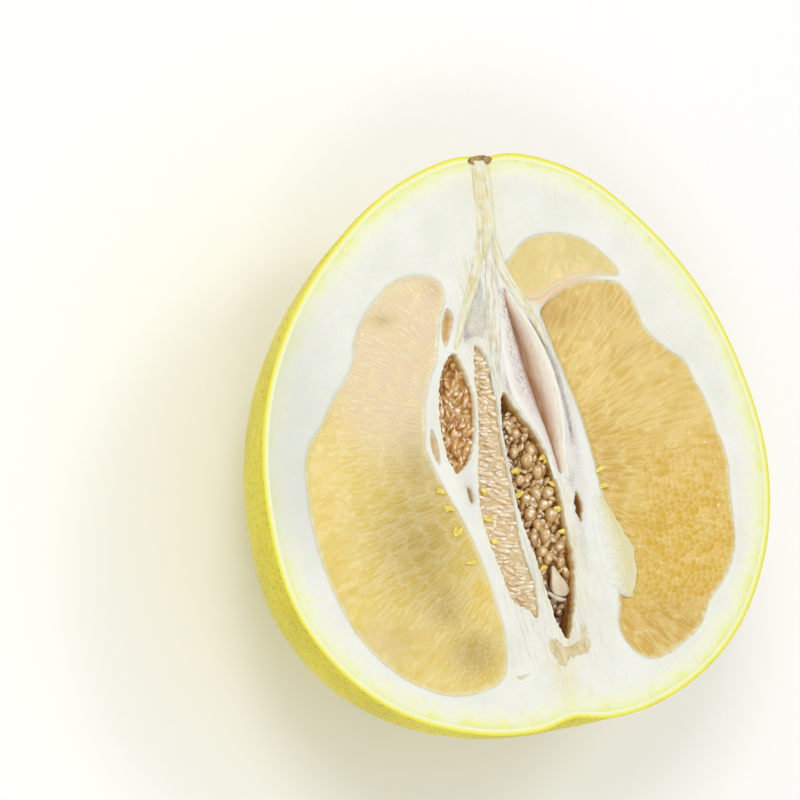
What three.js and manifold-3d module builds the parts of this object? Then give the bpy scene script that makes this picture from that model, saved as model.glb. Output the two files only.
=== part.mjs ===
// Half of a pomelo, cut from the stem end to the blossom end and laid on its back with the cut
// face up. Millimetres, +Z up, +Y towards the stem end, +X across the cut face to the right as
// it is looked down on. The origin is on the small flat spot that it rests on, under the middle
// of the cut face.
//
// A pomelo is made of a thin oily rind, a thick spongy pith with papery walls that reach in to
// the core, juicy pulp between the walls, membranes that fold into the hollow core, and seeds
// along the core's edges. Each of them is a solid of its own.
import * as THREE from "three";
import { mergeVertices } from "three/addons/utils/BufferGeometryUtils.js";
import Module from "manifold-3d";

const wasm = await Module();
wasm.setup();

// Driving dimensions
const FACE_Z = 77.0; // the cut face above the flat spot
const CORE_X = 3.8; // the core runs along Y at this X, a little right of the middle
const DEPTH_SHARE = 0.97; // how deep the fruit is for its width
const RIND = 2.0; // thickness of the yellow rind
const GAP = 0.3; // between pieces that touch
const PITH_BELOW = 12.0; // pith between the rind and the pulp, below and at the sides
const PITH_AT_STEM = 22.0; // the same towards the stem end, where it is thickest

// The rim of the cut face: its distance from the core at Y = 0, every 20 degrees, from the stem
// end round by the right side, the blossom end and the left side.
const RIM_STEP = 20;
const RIM_RADII = [
  85.4, 83.8, 78.4, 75.7, 75.3, 78.2, 81.7, 84.6, 84.8, 83.6, 88.4, 92.5, 91.9, 86.3, 82.4, 79.8,
  79.6, 82.8,
];
const STEM_DIMPLE = { depth: 1.2, width: 4 }; // width in degrees of arc
const BLOSSOM_DENT = { depth: 2.0, width: 5 };

// Outlines of the pulp on the cut face, as it is looked down on.
const PULP_LEFT = [
  [-27, 50.2], [-20, 49], [-16.8, 45], [-17.8, 40], [-19.8, 34], [-22.6, 25.5], [-25.4, 15],
  [-28.2, 6.5], [-30, 0], [-28.4, -6.5], [-25.4, -13.5], [-22, -22], [-19, -32], [-16.4, -43],
  [-14.4, -54], [-14.3, -62], [-17, -68], [-23, -70.8], [-31, -71], [-39, -69], [-47, -64.6],
  [-54.5, -57.6], [-60.5, -48], [-64.5, -36], [-67.2, -22], [-67.8, -8], [-66, 1.5], [-60, 9],
  [-53, 17], [-48.8, 26], [-46, 34.5], [-41.5, 41], [-34.5, 47],
];
const PULP_RIGHT = [
  [13.8, 37], [17.5, 41], [25, 44.2], [33, 45.1], [40.8, 44.2], [44.8, 40], [46.3, 34],
  [48.6, 27.6], [54.5, 22.6], [60, 15.5], [63.4, 7], [66.2, -3], [67.6, -12], [66.6, -27],
  [64.8, -39.5], [59, -48.5], [51, -57.5], [45.5, -62.4], [38, -65.6], [31, -67.2], [26, -64.6],
  [23.2, -59.6], [22.7, -54], [24, -47], [25.4, -38], [25.6, -28], [24.4, -18], [23.6, -6],
  [22.2, 5], [20, 16], [17, 27], [14.4, 33],
];
const PULP_UPPER = [
  [5.7, 49], [7.5, 55], [13, 59.2], [20.5, 60.4], [28, 59], [34.5, 54.8], [40, 49.2],
  [41.6, 47], [35, 46.9], [27, 46.4], [20.5, 45], [15, 42.6], [10.4, 42.1], [7.2, 44.6],
];
const POCKET_LEFT = [
  [-16, 26.8], [-13.6, 21.5], [-12.2, 13], [-13.2, 5], [-15.2, -2.4], [-18.6, -6.8], [-21, -8],
  [-22.8, -4], [-23.7, 3], [-23.2, 12], [-21, 20.5],
];
const POCKET_MIDDLE = [
  [-8.4, 28.4], [-5.8, 25], [-4.9, 16], [-5.3, 4], [-4.9, -9], [-4.6, -22], [-4.1, -32],
  [-2.5, -40], [-2.1, -47], [-3, -51.6], [-6, -48.6], [-9.4, -46.4], [-11.6, -38.4],
  [-13.8, -29.5], [-15.2, -20], [-14.4, -10], [-12.6, 0], [-10.8, 11], [-10.3, 21],
];
const POCKET_RIGHT = [
  [-2.4, 14], [1.2, 8.6], [5.4, 1.8], [8.6, -5.6], [10.4, -14.5], [11, -26], [11.4, -37],
  [10.2, -46], [7.9, -54], [5.7, -59], [3.2, -54], [1.7, -46], [0, -36], [-2, -27], [-3.6, -17],
  [-4.3, -6], [-4.3, 4],
];
const SLIVER_UPPER = [
  [-15.6, 39.9], [-14.4, 37.4], [-15.6, 33.4], [-18.2, 28.9], [-18.9, 31], [-17.6, 37],
];
const SLIVER_LOWER = [
  [-26.8, 5], [-25.7, 2], [-25.6, -2], [-26, -5.4], [-27, -3.6], [-27.7, 0], [-27.5, 3],
];

// The cut pulp of each segment: how far its surface lies below the cut face, how deep the flesh
// goes where it stops short of the pith, and the juice sacs' relief on it.
const FLESH = {
  pulp_left: { outline: PULP_LEFT, samples: 54, sunk: 0.7, relief: 0.45 },
  pulp_right: { outline: PULP_RIGHT, samples: 54, sunk: 0.7, relief: 0.45 },
  pulp_upper_right: { outline: PULP_UPPER, samples: 28, sunk: 0.7, relief: 0.3, deep: 30 },
  pulp_sliver_upper: { outline: SLIVER_UPPER, samples: 12, sunk: 2.0, relief: 0, deep: 8 },
  pulp_sliver_lower: { outline: SLIVER_LOWER, samples: 12, sunk: 2.4, relief: 0, deep: 8 },
};
// Juice sacs radiate from a point past the core, and their relief here is larger than life:
// length and width of a wave, the width at one reach, and the grid's step.
const RELIEF = { pastCore: 12, rootY: -5, length: 15, width: 11, reach: 50, step: 4.8 };

// The open pockets beside the core, where the juice sacs lie loose on the flesh below. A sac's
// sizes are half its length, width and height, spacing is across and along the core, and turn is
// in degrees from +X. SAC_STRAY is how far each one strays from its place, height and turn.
const SAC_STRAY = { place: 0.5, height: 0.25, turn: 22 };
const POCKET_EDGE = 0.5; // no sac's middle is nearer to the pocket's wall
const POCKETS = {
  pulp_pocket_left: {
    outline: POCKET_LEFT, samples: 22, sunk: 4.4, deep: 26,
    sac: { length: 3.4, width: 2.3, height: 1.8 }, spacing: [3.6, 4.0], turn: 70,
  },
  pulp_pocket_middle: {
    outline: POCKET_MIDDLE, samples: 34, sunk: 3.2, deep: 30,
    sac: { length: 4.6, width: 1.35, height: 1.5 }, spacing: [8.2, 2.5], turn: -4,
  },
  pulp_pocket_right: {
    outline: POCKET_RIGHT, samples: 34, sunk: 6.8, deep: 34,
    sac: { length: 2.7, width: 2.1, height: 2.2 }, spacing: [4.0, 4.4], turn: 60,
  },
};

// The hollow core between its left and right walls, with the two membranes that fold into it.
const CORE_HOLLOW = [
  [3, 43], [6.2, 38], [9.4, 32], [12.2, 26.4], [14, 20], [15, 12], [15, 4], [14.2, -4],
  [12.2, -11], [10.6, -8], [8.4, -1.6], [4.6, 5.4], [1.6, 10.8], [0, 17], [-0.2, 25], [0.9, 33],
  [2, 39],
];
const CORE_HOLLOW_DEEP = 9;
const LEFT_HOLLOW = [
  [-3.4, 49.4], [-2.9, 42], [-3.6, 35], [-5.2, 30], [-8.6, 30.8], [-11.8, 29], [-12.4, 31.6],
  [-9.9, 38.1], [-7, 44.4],
];
const RIGHT_SLIT = [
  [9.6, 36.4], [12.6, 31], [14.9, 25.6], [16.6, 19], [17.6, 10], [18, 3], [17.4, -3], [17, 4],
  [16.4, 12], [15.2, 19], [13.4, 26], [11.4, 31],
];
const RIGHT_HOLE = [
  [16.1, -16.4], [17.4, -19.6], [17.3, -22.2], [16, -25.4], [14.9, -21.9], [15.1, -19],
];
const LEFT_CLEFT = [[-18.4, -12.4], [-17.3, -13.2], [-17.1, -16.8], [-17.9, -16.9]];
const FOOT_CLEFT = [[-12.6, -67.4], [-7.8, -67.5], [-8, -68.3], [-11.6, -69.2]];
const HOLLOWS = [
  { outline: CORE_HOLLOW, deep: CORE_HOLLOW_DEEP },
  { outline: LEFT_HOLLOW, deep: 7 },
  { outline: RIGHT_SLIT, deep: 4 },
  { outline: RIGHT_HOLE, deep: 9 },
  { outline: LEFT_CLEFT, deep: 4 },
  { outline: FOOT_CLEFT, deep: 3 },
];

// The fibres that run from the stem into the core, with the two legs they part into.
const STRAND = [
  [-1.2, 80.4], [5, 80.4], [4.4, 70], [3.4, 60], [3.4, 52], [5.4, 45.6], [9.2, 39.6], [8, 39.2],
  [4, 45.6], [2.1, 50.6], [1.2, 55], [-0.4, 55], [-2.4, 51.6], [-4.4, 50], [-7.6, 45.4],
  [-10.6, 38.5], [-13.6, 30.4], [-14.8, 30.6], [-11.6, 39], [-8.4, 46.4], [-5.2, 52], [-3.4, 60],
  [-1.6, 70],
];
const STRAND_THICK = 2.4;
const FIBRE_PATCH = [
  [0.1, -56.8], [2.8, -59.6], [5.9, -60.6], [8.6, -59], [10.6, -54.4], [12.3, -58], [12, -63],
  [9.1, -64.4], [5.9, -64.8], [3.7, -68.2], [1.2, -65.5], [-1.4, -61],
];
const FIBRE_PATCH_THICK = 1.4;
const STEM_BUTTON = { x: 2.2, inFromTip: 1.4, below: 0.2, length: 4.2, width: 2.2, height: 5.0 };

// Each membrane is given at places along it. The two folds swell from the hollow's edges and fall
// steeply to the crease between them, whose points are [x, y, height over the cut face].
const FOLD_THICK = 1.2;
const CREASE = [
  [4.0, 40.6, -1.8], [6.2, 34.5, -5], [7.9, 28, -6], [9.0, 21, -6], [10.4, 14, -6],
  [11.3, 7.4, -5.5], [11.9, 1, -4.5], [12.0, -5, -3],
];
const FOLD_TOP = -0.8;
const LEFT_EDGE = [2.7, 1.6, 0.8, 0.8, 1.4, 4.6, 8, 10.3]; // X of the left fold's upper edge
const RIGHT_EDGE = [4.3, 7.9, 10.9, 13.1, 14.2, 14.5, 13.9, 12.9];
const FOLD_PROFILE = [[0, 0], [0.45, 0.16], [0.8, 0.55], [0.94, 1]]; // share across, share down
const fold = (edge) => CREASE.map(([x, y, z], i) =>
  FOLD_PROFILE.map(([across, down]) => [
    edge[i] + across * (x - edge[i]), y, FOLD_TOP + down * (z - FOLD_TOP),
  ]),
);
const FOLD_LEFT = fold(LEFT_EDGE);
const FOLD_RIGHT = fold(RIGHT_EDGE);
const FLAP_THICK = 1.1;
const FLAP = [
  [[20.4, -19.5, 1.5], [22.6, -19.3, 1.8], [24.8, -19.2, 1.6]],
  [[20.6, -25, 1.5], [24.4, -25.4, 2.7], [28.2, -26, 1.6]],
  [[21, -31, 1.5], [25.8, -31.4, 2.9], [30.4, -32, 1.6]],
  [[21.2, -37, 1.5], [26, -37.4, 2.9], [30.9, -37.6, 1.6]],
  [[21.2, -43, 1.5], [25.6, -43.2, 2.2], [30, -43.4, 1.6]],
  [[22.4, -48, 1.5], [25, -48.2, 1.9], [27.7, -48.4, 1.6]],
];

// Seeds: one flat and grown, the others small and undeveloped, along the segments' inner edges.
const FLAT_SEED = {
  outline: [
    [6.4, -36.8], [8.4, -39.9], [10.3, -43.2], [10.4, -44.8], [8.9, -46.1], [5.5, -45.3],
    [5.0, -43.2], [5.7, -39.6],
  ],
  top: -3.4,
  thick: 1.8,
};
const SMALL_SEED = { length: 1.5, width: 0.95, height: 0.95, lift: 0.2 };
const SEED_TURN = 40; // each one turns up to this many degrees from +X
// Each one's place, [x, y, height over the cut face]
const SMALL_SEEDS = [
  [-26.6, 1.6, -2.3], [-26.5, -1.6, -2.3], [-18.4, -5, -3.4], [-14.4, -2, -2.6],
  [-12.4, -13.9, -2], [-12.8, -22, -2], [-11.5, -28.7, -2], [-0.8, -8.4, -4.2],
  [-0.7, -15.4, -4.2], [2.9, -37.6, -4.2], [8.1, -5.4, -2.5], [9.9, -13.5, -2.5],
  [10.4, -20.8, -2.5], [10.7, -27.5, -2.5], [-26.6, -13, -0.6], [-25.2, -18, -0.6],
  [-23.4, -25, -0.6], [-21, -34, -0.6], [25.4, -15.5, -0.6], [24.8, -10.8, -0.6],
];

// The rim's radius at an angle in degrees, by a smooth curve through RIM_RADII.
function rimRadius(degrees) {
  const count = RIM_RADII.length;
  const angle = ((degrees % 360) + 360) % 360;
  const place = angle / RIM_STEP;
  const i = Math.floor(place);
  const t = place - i;
  const [a, b, c, d] = [-1, 0, 1, 2].map((k) => RIM_RADII[(i + k + count) % count]);
  const bend = 2 * a - 5 * b + 4 * c - d + t * (3 * (b - c) + d - a);
  const smooth = b + 0.5 * t * (c - a + t * bend);
  const fromStem = Math.min(angle, 360 - angle);
  const hollow = ({ depth, width }, away) => depth * Math.exp(-((away / width) ** 2));
  return smooth - hollow(STEM_DIMPLE, fromStem) - hollow(BLOSSOM_DENT, 180 - fromStem);
}

// A point of the whole fruit's skin, inset by some millimetres. fromStem runs from 0 at the
// stem end to 180 at the blossom end, and round is 0 at the right, 90 below and 180 at the left.
function fruitPoint(fromStem, round, inset) {
  const turn = THREE.MathUtils.degToRad(round);
  const tilt = THREE.MathUtils.degToRad(fromStem);
  const left = (1 - Math.cos(turn)) / 2;
  const radius = (1 - left) * rimRadius(fromStem) + left * rimRadius(360 - fromStem) - inset;
  return new THREE.Vector3(
    CORE_X + radius * Math.sin(tilt) * Math.cos(turn),
    radius * Math.cos(tilt),
    FACE_Z - radius * Math.sin(tilt) * Math.sin(turn) * DEPTH_SHARE,
  );
}

// A closed three.js geometry as a solid for cutting and joining, and back again.
function toSolid(geometry) {
  const bare = geometry.clone();
  bare.deleteAttribute("normal");
  bare.deleteAttribute("uv");
  const merged = mergeVertices(bare, 1e-4);
  return new wasm.Manifold(
    new wasm.Mesh({
      numProp: 3,
      vertProperties: new Float32Array(merged.attributes.position.array),
      triVerts: new Uint32Array(merged.index.array),
    }),
  );
}

function toGeometry(solid) {
  const mesh = solid.getMesh();
  const geometry = new THREE.BufferGeometry();
  geometry.setAttribute("position", new THREE.BufferAttribute(mesh.vertProperties, 3));
  geometry.setIndex(new THREE.BufferAttribute(mesh.triVerts, 1));
  geometry.computeVertexNormals();
  return geometry;
}

// The whole fruit as a closed surface, inset by a function of the angle from the stem.
const FRUIT_STEPS = { fromStem: 26, round: 36 };
function fruitSolid(insetAt) {
  const { fromStem: rows, round: columns } = FRUIT_STEPS;
  const geometry = new THREE.SphereGeometry(1, columns, rows);
  const position = geometry.attributes.position;
  for (let i = 0; i < position.count; i++) {
    const row = Math.floor(i / (columns + 1));
    const atPole = row === 0 || row === rows;
    const column = atPole ? 0 : (i % (columns + 1)) % columns;
    const fromStem = (180 * row) / rows;
    const round = (360 * column) / columns;
    const p = fruitPoint(fromStem, round, insetAt(fromStem));
    position.setXYZ(i, p.x, p.y, p.z);
  }
  return toSolid(geometry);
}

const pithInset = (fromStem, extra) => {
  const towardsStem = 1 - THREE.MathUtils.smoothstep(fromStem, 15, 75);
  return RIND + GAP + PITH_BELOW + (PITH_AT_STEM - PITH_BELOW) * towardsStem + extra;
};

// All that is between two heights, for trimming.
function slab(bottom, top) {
  const beyond = 400;
  const geometry = new THREE.BoxGeometry(beyond, beyond, top - bottom);
  geometry.translate(0, 0, (top + bottom) / 2);
  return toSolid(geometry);
}

// A closed smooth outline through some points, as evenly spaced samples.
function smoothOutline(points, samples) {
  const curve = new THREE.CatmullRomCurve3(
    points.map(([x, y]) => new THREE.Vector3(x, y, 0)),
    true,
    "centripetal",
  );
  return curve.getSpacedPoints(samples).slice(0, samples).map((p) => [p.x, p.y]);
}

// The outline moved outwards by some millimetres.
function grown(outline, by) {
  const count = outline.length;
  const next = (i) => outline[(i + 1) % count];
  const last = (i) => outline[(i + count - 1) % count];
  const area = outline.reduce((sum, [x, y], i) => sum + x * next(i)[1] - next(i)[0] * y, 0);
  return outline.map(([x, y], i) => {
    const [a, b] = last(i);
    const [c, d] = next(i);
    const share = (Math.sign(area) * by) / Math.hypot(c - a, d - b);
    return [x + share * (d - b), y - share * (c - a)];
  });
}

// A straight-walled solid of an outline between two heights.
function prism(outline, bottom, top) {
  const shape = new THREE.Shape(outline.map(([x, y]) => new THREE.Vector2(x, y)));
  const geometry = new THREE.ExtrudeGeometry(shape, { depth: top - bottom, bevelEnabled: false });
  geometry.translate(0, 0, bottom);
  return toSolid(geometry);
}

// A block over an outline whose top follows heightAt(x, y).
function waveTopped(outline, bottom, step, heightAt) {
  const box = new THREE.Box2().setFromPoints(outline.map(([x, y]) => new THREE.Vector2(x, y)));
  const size = box.getSize(new THREE.Vector2());
  const middle = box.getCenter(new THREE.Vector2());
  const columns = Math.ceil(size.x / step) + 2;
  const rows = Math.ceil(size.y / step) + 2;
  const geometry = new THREE.BoxGeometry(columns * step, rows * step, 2, columns, rows, 1);
  geometry.translate(middle.x, middle.y, 0);
  const position = geometry.attributes.position;
  for (let i = 0; i < position.count; i++) {
    const top = position.getZ(i) > 0;
    const height = top ? heightAt(position.getX(i), position.getY(i)) : bottom;
    position.setZ(i, height);
  }
  return toSolid(geometry);
}

// The low relief of juice sacs on a cut segment.
function sacRelief(x, y, height) {
  const fromRoot = new THREE.Vector2(
    Math.abs(x - CORE_X) + RELIEF.pastCore,
    y - RELIEF.rootY,
  );
  const across = (Math.atan2(fromRoot.y, fromRoot.x) * RELIEF.reach) / RELIEF.width;
  const along = fromRoot.length() / RELIEF.length;
  return height * Math.sin(2 * Math.PI * across) * Math.cos(2 * Math.PI * along + across);
}

const pulpBowl = fruitSolid((fromStem) => pithInset(fromStem, 0));
const pithBowl = fruitSolid((fromStem) => pithInset(fromStem, -GAP));

// The flesh of one segment, with its relief on the cut face.
function flesh({ outline, samples, sunk, relief, deep }) {
  const round = smoothOutline(outline, samples);
  const top = FACE_Z - sunk;
  const bottom = deep ? FACE_Z - deep : 0;
  const body = prism(round, bottom, top + 2).intersect(pulpBowl);
  if (!relief) return body.intersect(slab(0, top));
  const heightAt = (x, y) => top + sacRelief(x, y, relief);
  return body.intersect(waveTopped(round, -1, RELIEF.step, heightAt));
}

// Whether a point lies inside an outline.
function inside(outline, x, y) {
  return outline.reduce((odd, [a, b], i) => {
    const [c, d] = outline[(i + 1) % outline.length];
    const crosses = b > y !== d > y && x < a + ((c - a) * (y - b)) / (d - b);
    return crosses ? !odd : odd;
  }, false);
}

// The largest of a solid's bodies, without the scraps that a cut can leave.
function largest(solid) {
  return solid.decompose().sort((a, b) => b.volume() - a.volume())[0];
}

// A small ellipsoid, turned about Z by some degrees.
function bead({ length, width, height }, turn, at, sides = 6, rows = 4) {
  const geometry = new THREE.SphereGeometry(1, sides, rows);
  geometry.scale(length, width, height);
  geometry.rotateZ(THREE.MathUtils.degToRad(turn));
  geometry.translate(...at);
  return toSolid(geometry);
}

// An ellipsoid's size with the gap all round it.
function withGap({ length, width, height }) {
  return { length: length + GAP, width: width + GAP, height: height + GAP };
}

// A fixed scatter between -1 and 1 for the k-th sac.
const scatter = (k, n) => Math.sin(12.9898 * (k + 1) + 78.233 * n);

// The flesh at the foot of an open pocket, with the loose juice sacs sunk into it.
function pocketFlesh({ outline, samples, sunk, deep, sac, spacing, turn }) {
  const round = smoothOutline(outline, samples);
  const top = FACE_Z - sunk;
  const floor = prism(round, FACE_Z - deep, top);
  const room = grown(round, -POCKET_EDGE);
  const sacs = [];
  const [across, along] = spacing;
  const xs = round.map(([x]) => x);
  const ys = round.map(([, y]) => y);
  const rows = Math.ceil((Math.max(...ys) - Math.min(...ys)) / along);
  const columns = Math.ceil((Math.max(...xs) - Math.min(...xs)) / across);
  for (let row = 0; row < rows; row++) {
    for (let column = 0; column <= columns; column++) {
      const k = row * (columns + 1) + column;
      const inRow = column + 0.5 * (row % 2);
      const x = Math.min(...xs) + inRow * across + SAC_STRAY.place * scatter(k, 1);
      const y = Math.min(...ys) + (row + 0.5) * along + SAC_STRAY.place * scatter(k, 2);
      if (!inside(room, x, y)) continue;
      const z = top + SAC_STRAY.height * scatter(k, 3);
      sacs.push(bead(sac, turn + SAC_STRAY.turn * scatter(k, 4), [x, y, z], 5));
    }
  }
  const heap = sacs.reduce((all, one) => all.add(one), floor);
  return largest(heap.intersect(prism(round, FACE_Z - deep, FACE_Z)).intersect(pulpBowl));
}

// A sheet of even thickness through stations of points, each [x, y, height over the cut face].
function sheet(stations, thick) {
  const rows = stations.length;
  const columns = stations[0].length;
  const points = [0, thick].flatMap((down) =>
    stations.flat().flatMap(([x, y, z]) => [x, y, FACE_Z + z - down]),
  );
  const at = (row, column, below) => below * rows * columns + row * columns + column;
  const faces = [];
  const quad = (a, b, c, d) => faces.push(a, b, c, a, c, d);
  for (let row = 0; row < rows - 1; row++) {
    for (let column = 0; column < columns - 1; column++) {
      const corner = (below) => [
        at(row, column, below), at(row + 1, column, below),
        at(row + 1, column + 1, below), at(row, column + 1, below),
      ];
      quad(...corner(0));
      quad(...corner(1).reverse());
    }
  }
  for (let row = 0; row < rows - 1; row++) {
    quad(at(row, 0, 1), at(row + 1, 0, 1), at(row + 1, 0, 0), at(row, 0, 0));
    const last = columns - 1;
    quad(at(row, last, 0), at(row + 1, last, 0), at(row + 1, last, 1), at(row, last, 1));
  }
  for (let column = 0; column < columns - 1; column++) {
    quad(at(0, column, 0), at(0, column + 1, 0), at(0, column + 1, 1), at(0, column, 1));
    const last = rows - 1;
    quad(at(last, column, 1), at(last, column + 1, 1), at(last, column + 1, 0), at(last, column, 0));
  }
  const geometry = new THREE.BufferGeometry();
  geometry.setAttribute("position", new THREE.Float32BufferAttribute(points, 3));
  geometry.setIndex(faces);
  const solid = toSolid(geometry);
  if (solid.volume() > 0) return solid;
  geometry.setIndex(faces.reverse());
  return toSolid(geometry);
}

const sum = (solids) => solids.reduce((all, one) => all.add(one));

// Rind and pith
const half = slab(0, FACE_Z);
const rindHollow = fruitSolid(() => RIND).intersect(slab(RIND, FACE_Z + 1));
let rind = fruitSolid(() => 0).intersect(half).subtract(rindHollow);
let pith = fruitSolid(() => RIND + GAP).intersect(slab(RIND + GAP, FACE_Z));

// Pulp, with a pocket for each in the pith
const pieces = {};
for (const [name, segment] of Object.entries(FLESH)) {
  pieces[name] = flesh(segment);
}
for (const [name, pocket] of Object.entries(POCKETS)) {
  pieces[name] = pocketFlesh(pocket);
}
for (const { outline, samples, deep } of [...Object.values(FLESH), ...Object.values(POCKETS)]) {
  const wall = grown(smoothOutline(outline, samples), GAP);
  const bottom = deep ? FACE_Z - deep - GAP : 0;
  pith = pith.subtract(prism(wall, bottom, FACE_Z + 1).intersect(pithBowl));
}

// The core
for (const { outline, deep } of HOLLOWS) {
  pith = pith.subtract(prism(outline, FACE_Z - deep, FACE_Z + 1));
}
const inlays = [
  ["core_strand", STRAND, STRAND_THICK],
  ["fibre_patch", FIBRE_PATCH, FIBRE_PATCH_THICK],
];
for (const [name, outline, thick] of inlays) {
  pieces[name] = prism(outline, FACE_Z - thick, FACE_Z);
  pith = pith.subtract(prism(grown(outline, GAP), FACE_Z - thick - GAP, FACE_Z + 1));
}
const hollowRoom = prism(grown(CORE_HOLLOW, -GAP), FACE_Z - CORE_HOLLOW_DEEP + GAP, FACE_Z);
pieces.membrane_fold_left = sheet(FOLD_LEFT, FOLD_THICK).intersect(hollowRoom);
pieces.membrane_fold_right = sheet(FOLD_RIGHT, FOLD_THICK).intersect(hollowRoom);
pieces.membrane_flap = sheet(FLAP, FLAP_THICK);

// The stem's remnant in its dimple
const buttonAt = [
  STEM_BUTTON.x, rimRadius(0) - STEM_BUTTON.inFromTip, FACE_Z - STEM_BUTTON.below,
];
const buttonSides = [12, 8];
const buttonBed = bead(withGap(STEM_BUTTON), 0, buttonAt, ...buttonSides);
pieces.stem_button = bead(STEM_BUTTON, 0, buttonAt, ...buttonSides).intersect(half);
pieces.core_strand = pieces.core_strand.subtract(buttonBed);
rind = rind.subtract(buttonBed);
pith = pith.subtract(buttonBed);

// The seeds, each in a bed in what it grows from
pieces.seed_flat = prism(
  FLAT_SEED.outline, FACE_Z + FLAT_SEED.top - FLAT_SEED.thick, FACE_Z + FLAT_SEED.top,
);
const beds = SMALL_SEEDS.map(([x, y, z], k) => {
  const turn = SEED_TURN * scatter(k, 5);
  const at = [x, y, FACE_Z + z + SMALL_SEED.lift];
  pieces["seed_small_" + String(k + 1).padStart(2, "0")] = bead(SMALL_SEED, turn, at);
  return bead(withGap(SMALL_SEED), turn, at);
});
const flatBed = prism(
  grown(FLAT_SEED.outline, GAP), FACE_Z + FLAT_SEED.top - FLAT_SEED.thick - GAP, FACE_Z,
);
const allBeds = sum([...beds, flatBed]);
pith = pith.subtract(allBeds);
for (const name of [...Object.keys(FLESH), ...Object.keys(POCKETS)]) {
  pieces[name] = pieces[name].subtract(allBeds);
}

// What each piece looks like, by the start of its name
const LOOKS = [
  ["rind", { color: 0xd8bf2e, roughness: 0.42 }],
  ["pith", { color: 0xf1f1ea, roughness: 0.85 }],
  ["pulp_left", { color: 0xe6cf9a, roughness: 0.3 }],
  ["pulp_right", { color: 0xdfbd5e, roughness: 0.3 }],
  ["pulp_upper", { color: 0xe9d79a, roughness: 0.3 }],
  ["pulp_sliver", { color: 0xbe8c32, roughness: 0.25 }],
  ["pulp_pocket_left", { color: 0xbe8c32, roughness: 0.25 }],
  ["pulp_pocket_middle", { color: 0xcfb691, roughness: 0.25 }],
  ["pulp_pocket_right", { color: 0xb98f58, roughness: 0.25 }],
  ["core_strand", { color: 0xe9e2b4, roughness: 0.7 }],
  ["fibre_patch", { color: 0xe0d6aa, roughness: 0.7 }],
  ["membrane", { color: 0xe4dccf, roughness: 0.6 }],
  ["stem_button", { color: 0xa8743c, roughness: 0.8 }],
  ["seed_flat", { color: 0xd9ceb0, roughness: 0.4 }],
  ["seed_small", { color: 0xf0d76e, roughness: 0.4 }],
];

const pomelo = new THREE.Group();
for (const [name, solid] of Object.entries({ rind, pith, ...pieces })) {
  const [, look] = LOOKS.find(([start]) => name.startsWith(start));
  const mesh = new THREE.Mesh(toGeometry(solid), new THREE.MeshStandardMaterial(look));
  mesh.name = name;
  pomelo.add(mesh);
}

export default pomelo;
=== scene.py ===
import math

import bpy
import numpy as np
from mathutils import Matrix, Vector, geometry, kdtree, noise


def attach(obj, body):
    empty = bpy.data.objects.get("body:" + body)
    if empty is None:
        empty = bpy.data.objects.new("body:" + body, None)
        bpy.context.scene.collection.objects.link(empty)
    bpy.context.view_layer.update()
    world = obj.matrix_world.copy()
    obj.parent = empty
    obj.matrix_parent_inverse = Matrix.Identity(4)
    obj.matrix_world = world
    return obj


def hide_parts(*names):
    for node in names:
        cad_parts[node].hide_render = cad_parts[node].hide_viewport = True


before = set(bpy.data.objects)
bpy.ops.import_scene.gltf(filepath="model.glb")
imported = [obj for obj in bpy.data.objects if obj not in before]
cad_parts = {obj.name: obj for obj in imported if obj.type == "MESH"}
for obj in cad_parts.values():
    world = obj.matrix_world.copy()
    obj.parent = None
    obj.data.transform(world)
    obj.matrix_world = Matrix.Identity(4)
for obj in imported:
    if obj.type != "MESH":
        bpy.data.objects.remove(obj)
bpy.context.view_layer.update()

MM = 0.001
BODY = "root"

# The fruit's own sizes, as in the solids
FACE_Z = 77.0
CORE_X = 3.8  # the line from the stem to the blossom end
DEPTH_SHARE = 0.97  # the back's depth, as a share of a round one's
RIND = 2.0
PITH_BELOW = 12.0  # how thick the pith is under the pulp
PITH_AT_STEM = 22.0
RIM_STEP = 20.0  # degrees from one of the rim's radii to the next, from the stem to the right
RIM_RADII = (
    85.4, 83.8, 78.4, 75.7, 75.3, 78.2, 81.7, 84.6, 84.8, 83.6, 88.4, 92.5, 91.9, 86.3, 82.4, 79.8,
    79.6, 82.8,
)
STEM_DIMPLE = (1.2, 4.0)  # depth, and width in degrees of arc
BLOSSOM_DENT = (2.0, 5.0)

# Outlines on the cut face
PULP_LEFT = (
    (-22.9, 50.2), (-27.5, 49.9), (-32.2, 48.5), (-36.8, 45), (-41.5, 40.3), (-43.8, 37.4),
    (-46.7, 32.2), (-47.5, 27.5), (-50, 22.9), (-56, 16), (-60.7, 8.9), (-64.7, 4.3),
    (-67.1, -1.5), (-68, -10.8), (-67.8, -20.1), (-66.8, -28.3), (-64.7, -37.6), (-61.8, -45.7),
    (-57.8, -53.3), (-53.1, -59.1), (-47.3, -64.3), (-40.3, -68.7), (-33.3, -71), (-26.4, -71.1),
    (-19.4, -69.6), (-15.9, -66.7), (-14.5, -62), (-14, -55), (-14.7, -48), (-16.5, -38.7),
    (-18.8, -29.4), (-21.7, -21.3), (-25.2, -13.2), (-27.7, -6.2), (-29.5, 0), (-28.9, 4.3),
    (-27.5, 12.4), (-24.8, 19.4), (-21.9, 24.6), (-20.7, 28.7), (-18.6, 36.8), (-16.4, 41.5),
    (-16.2, 46.7), (-18.2, 49),
)
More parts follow.
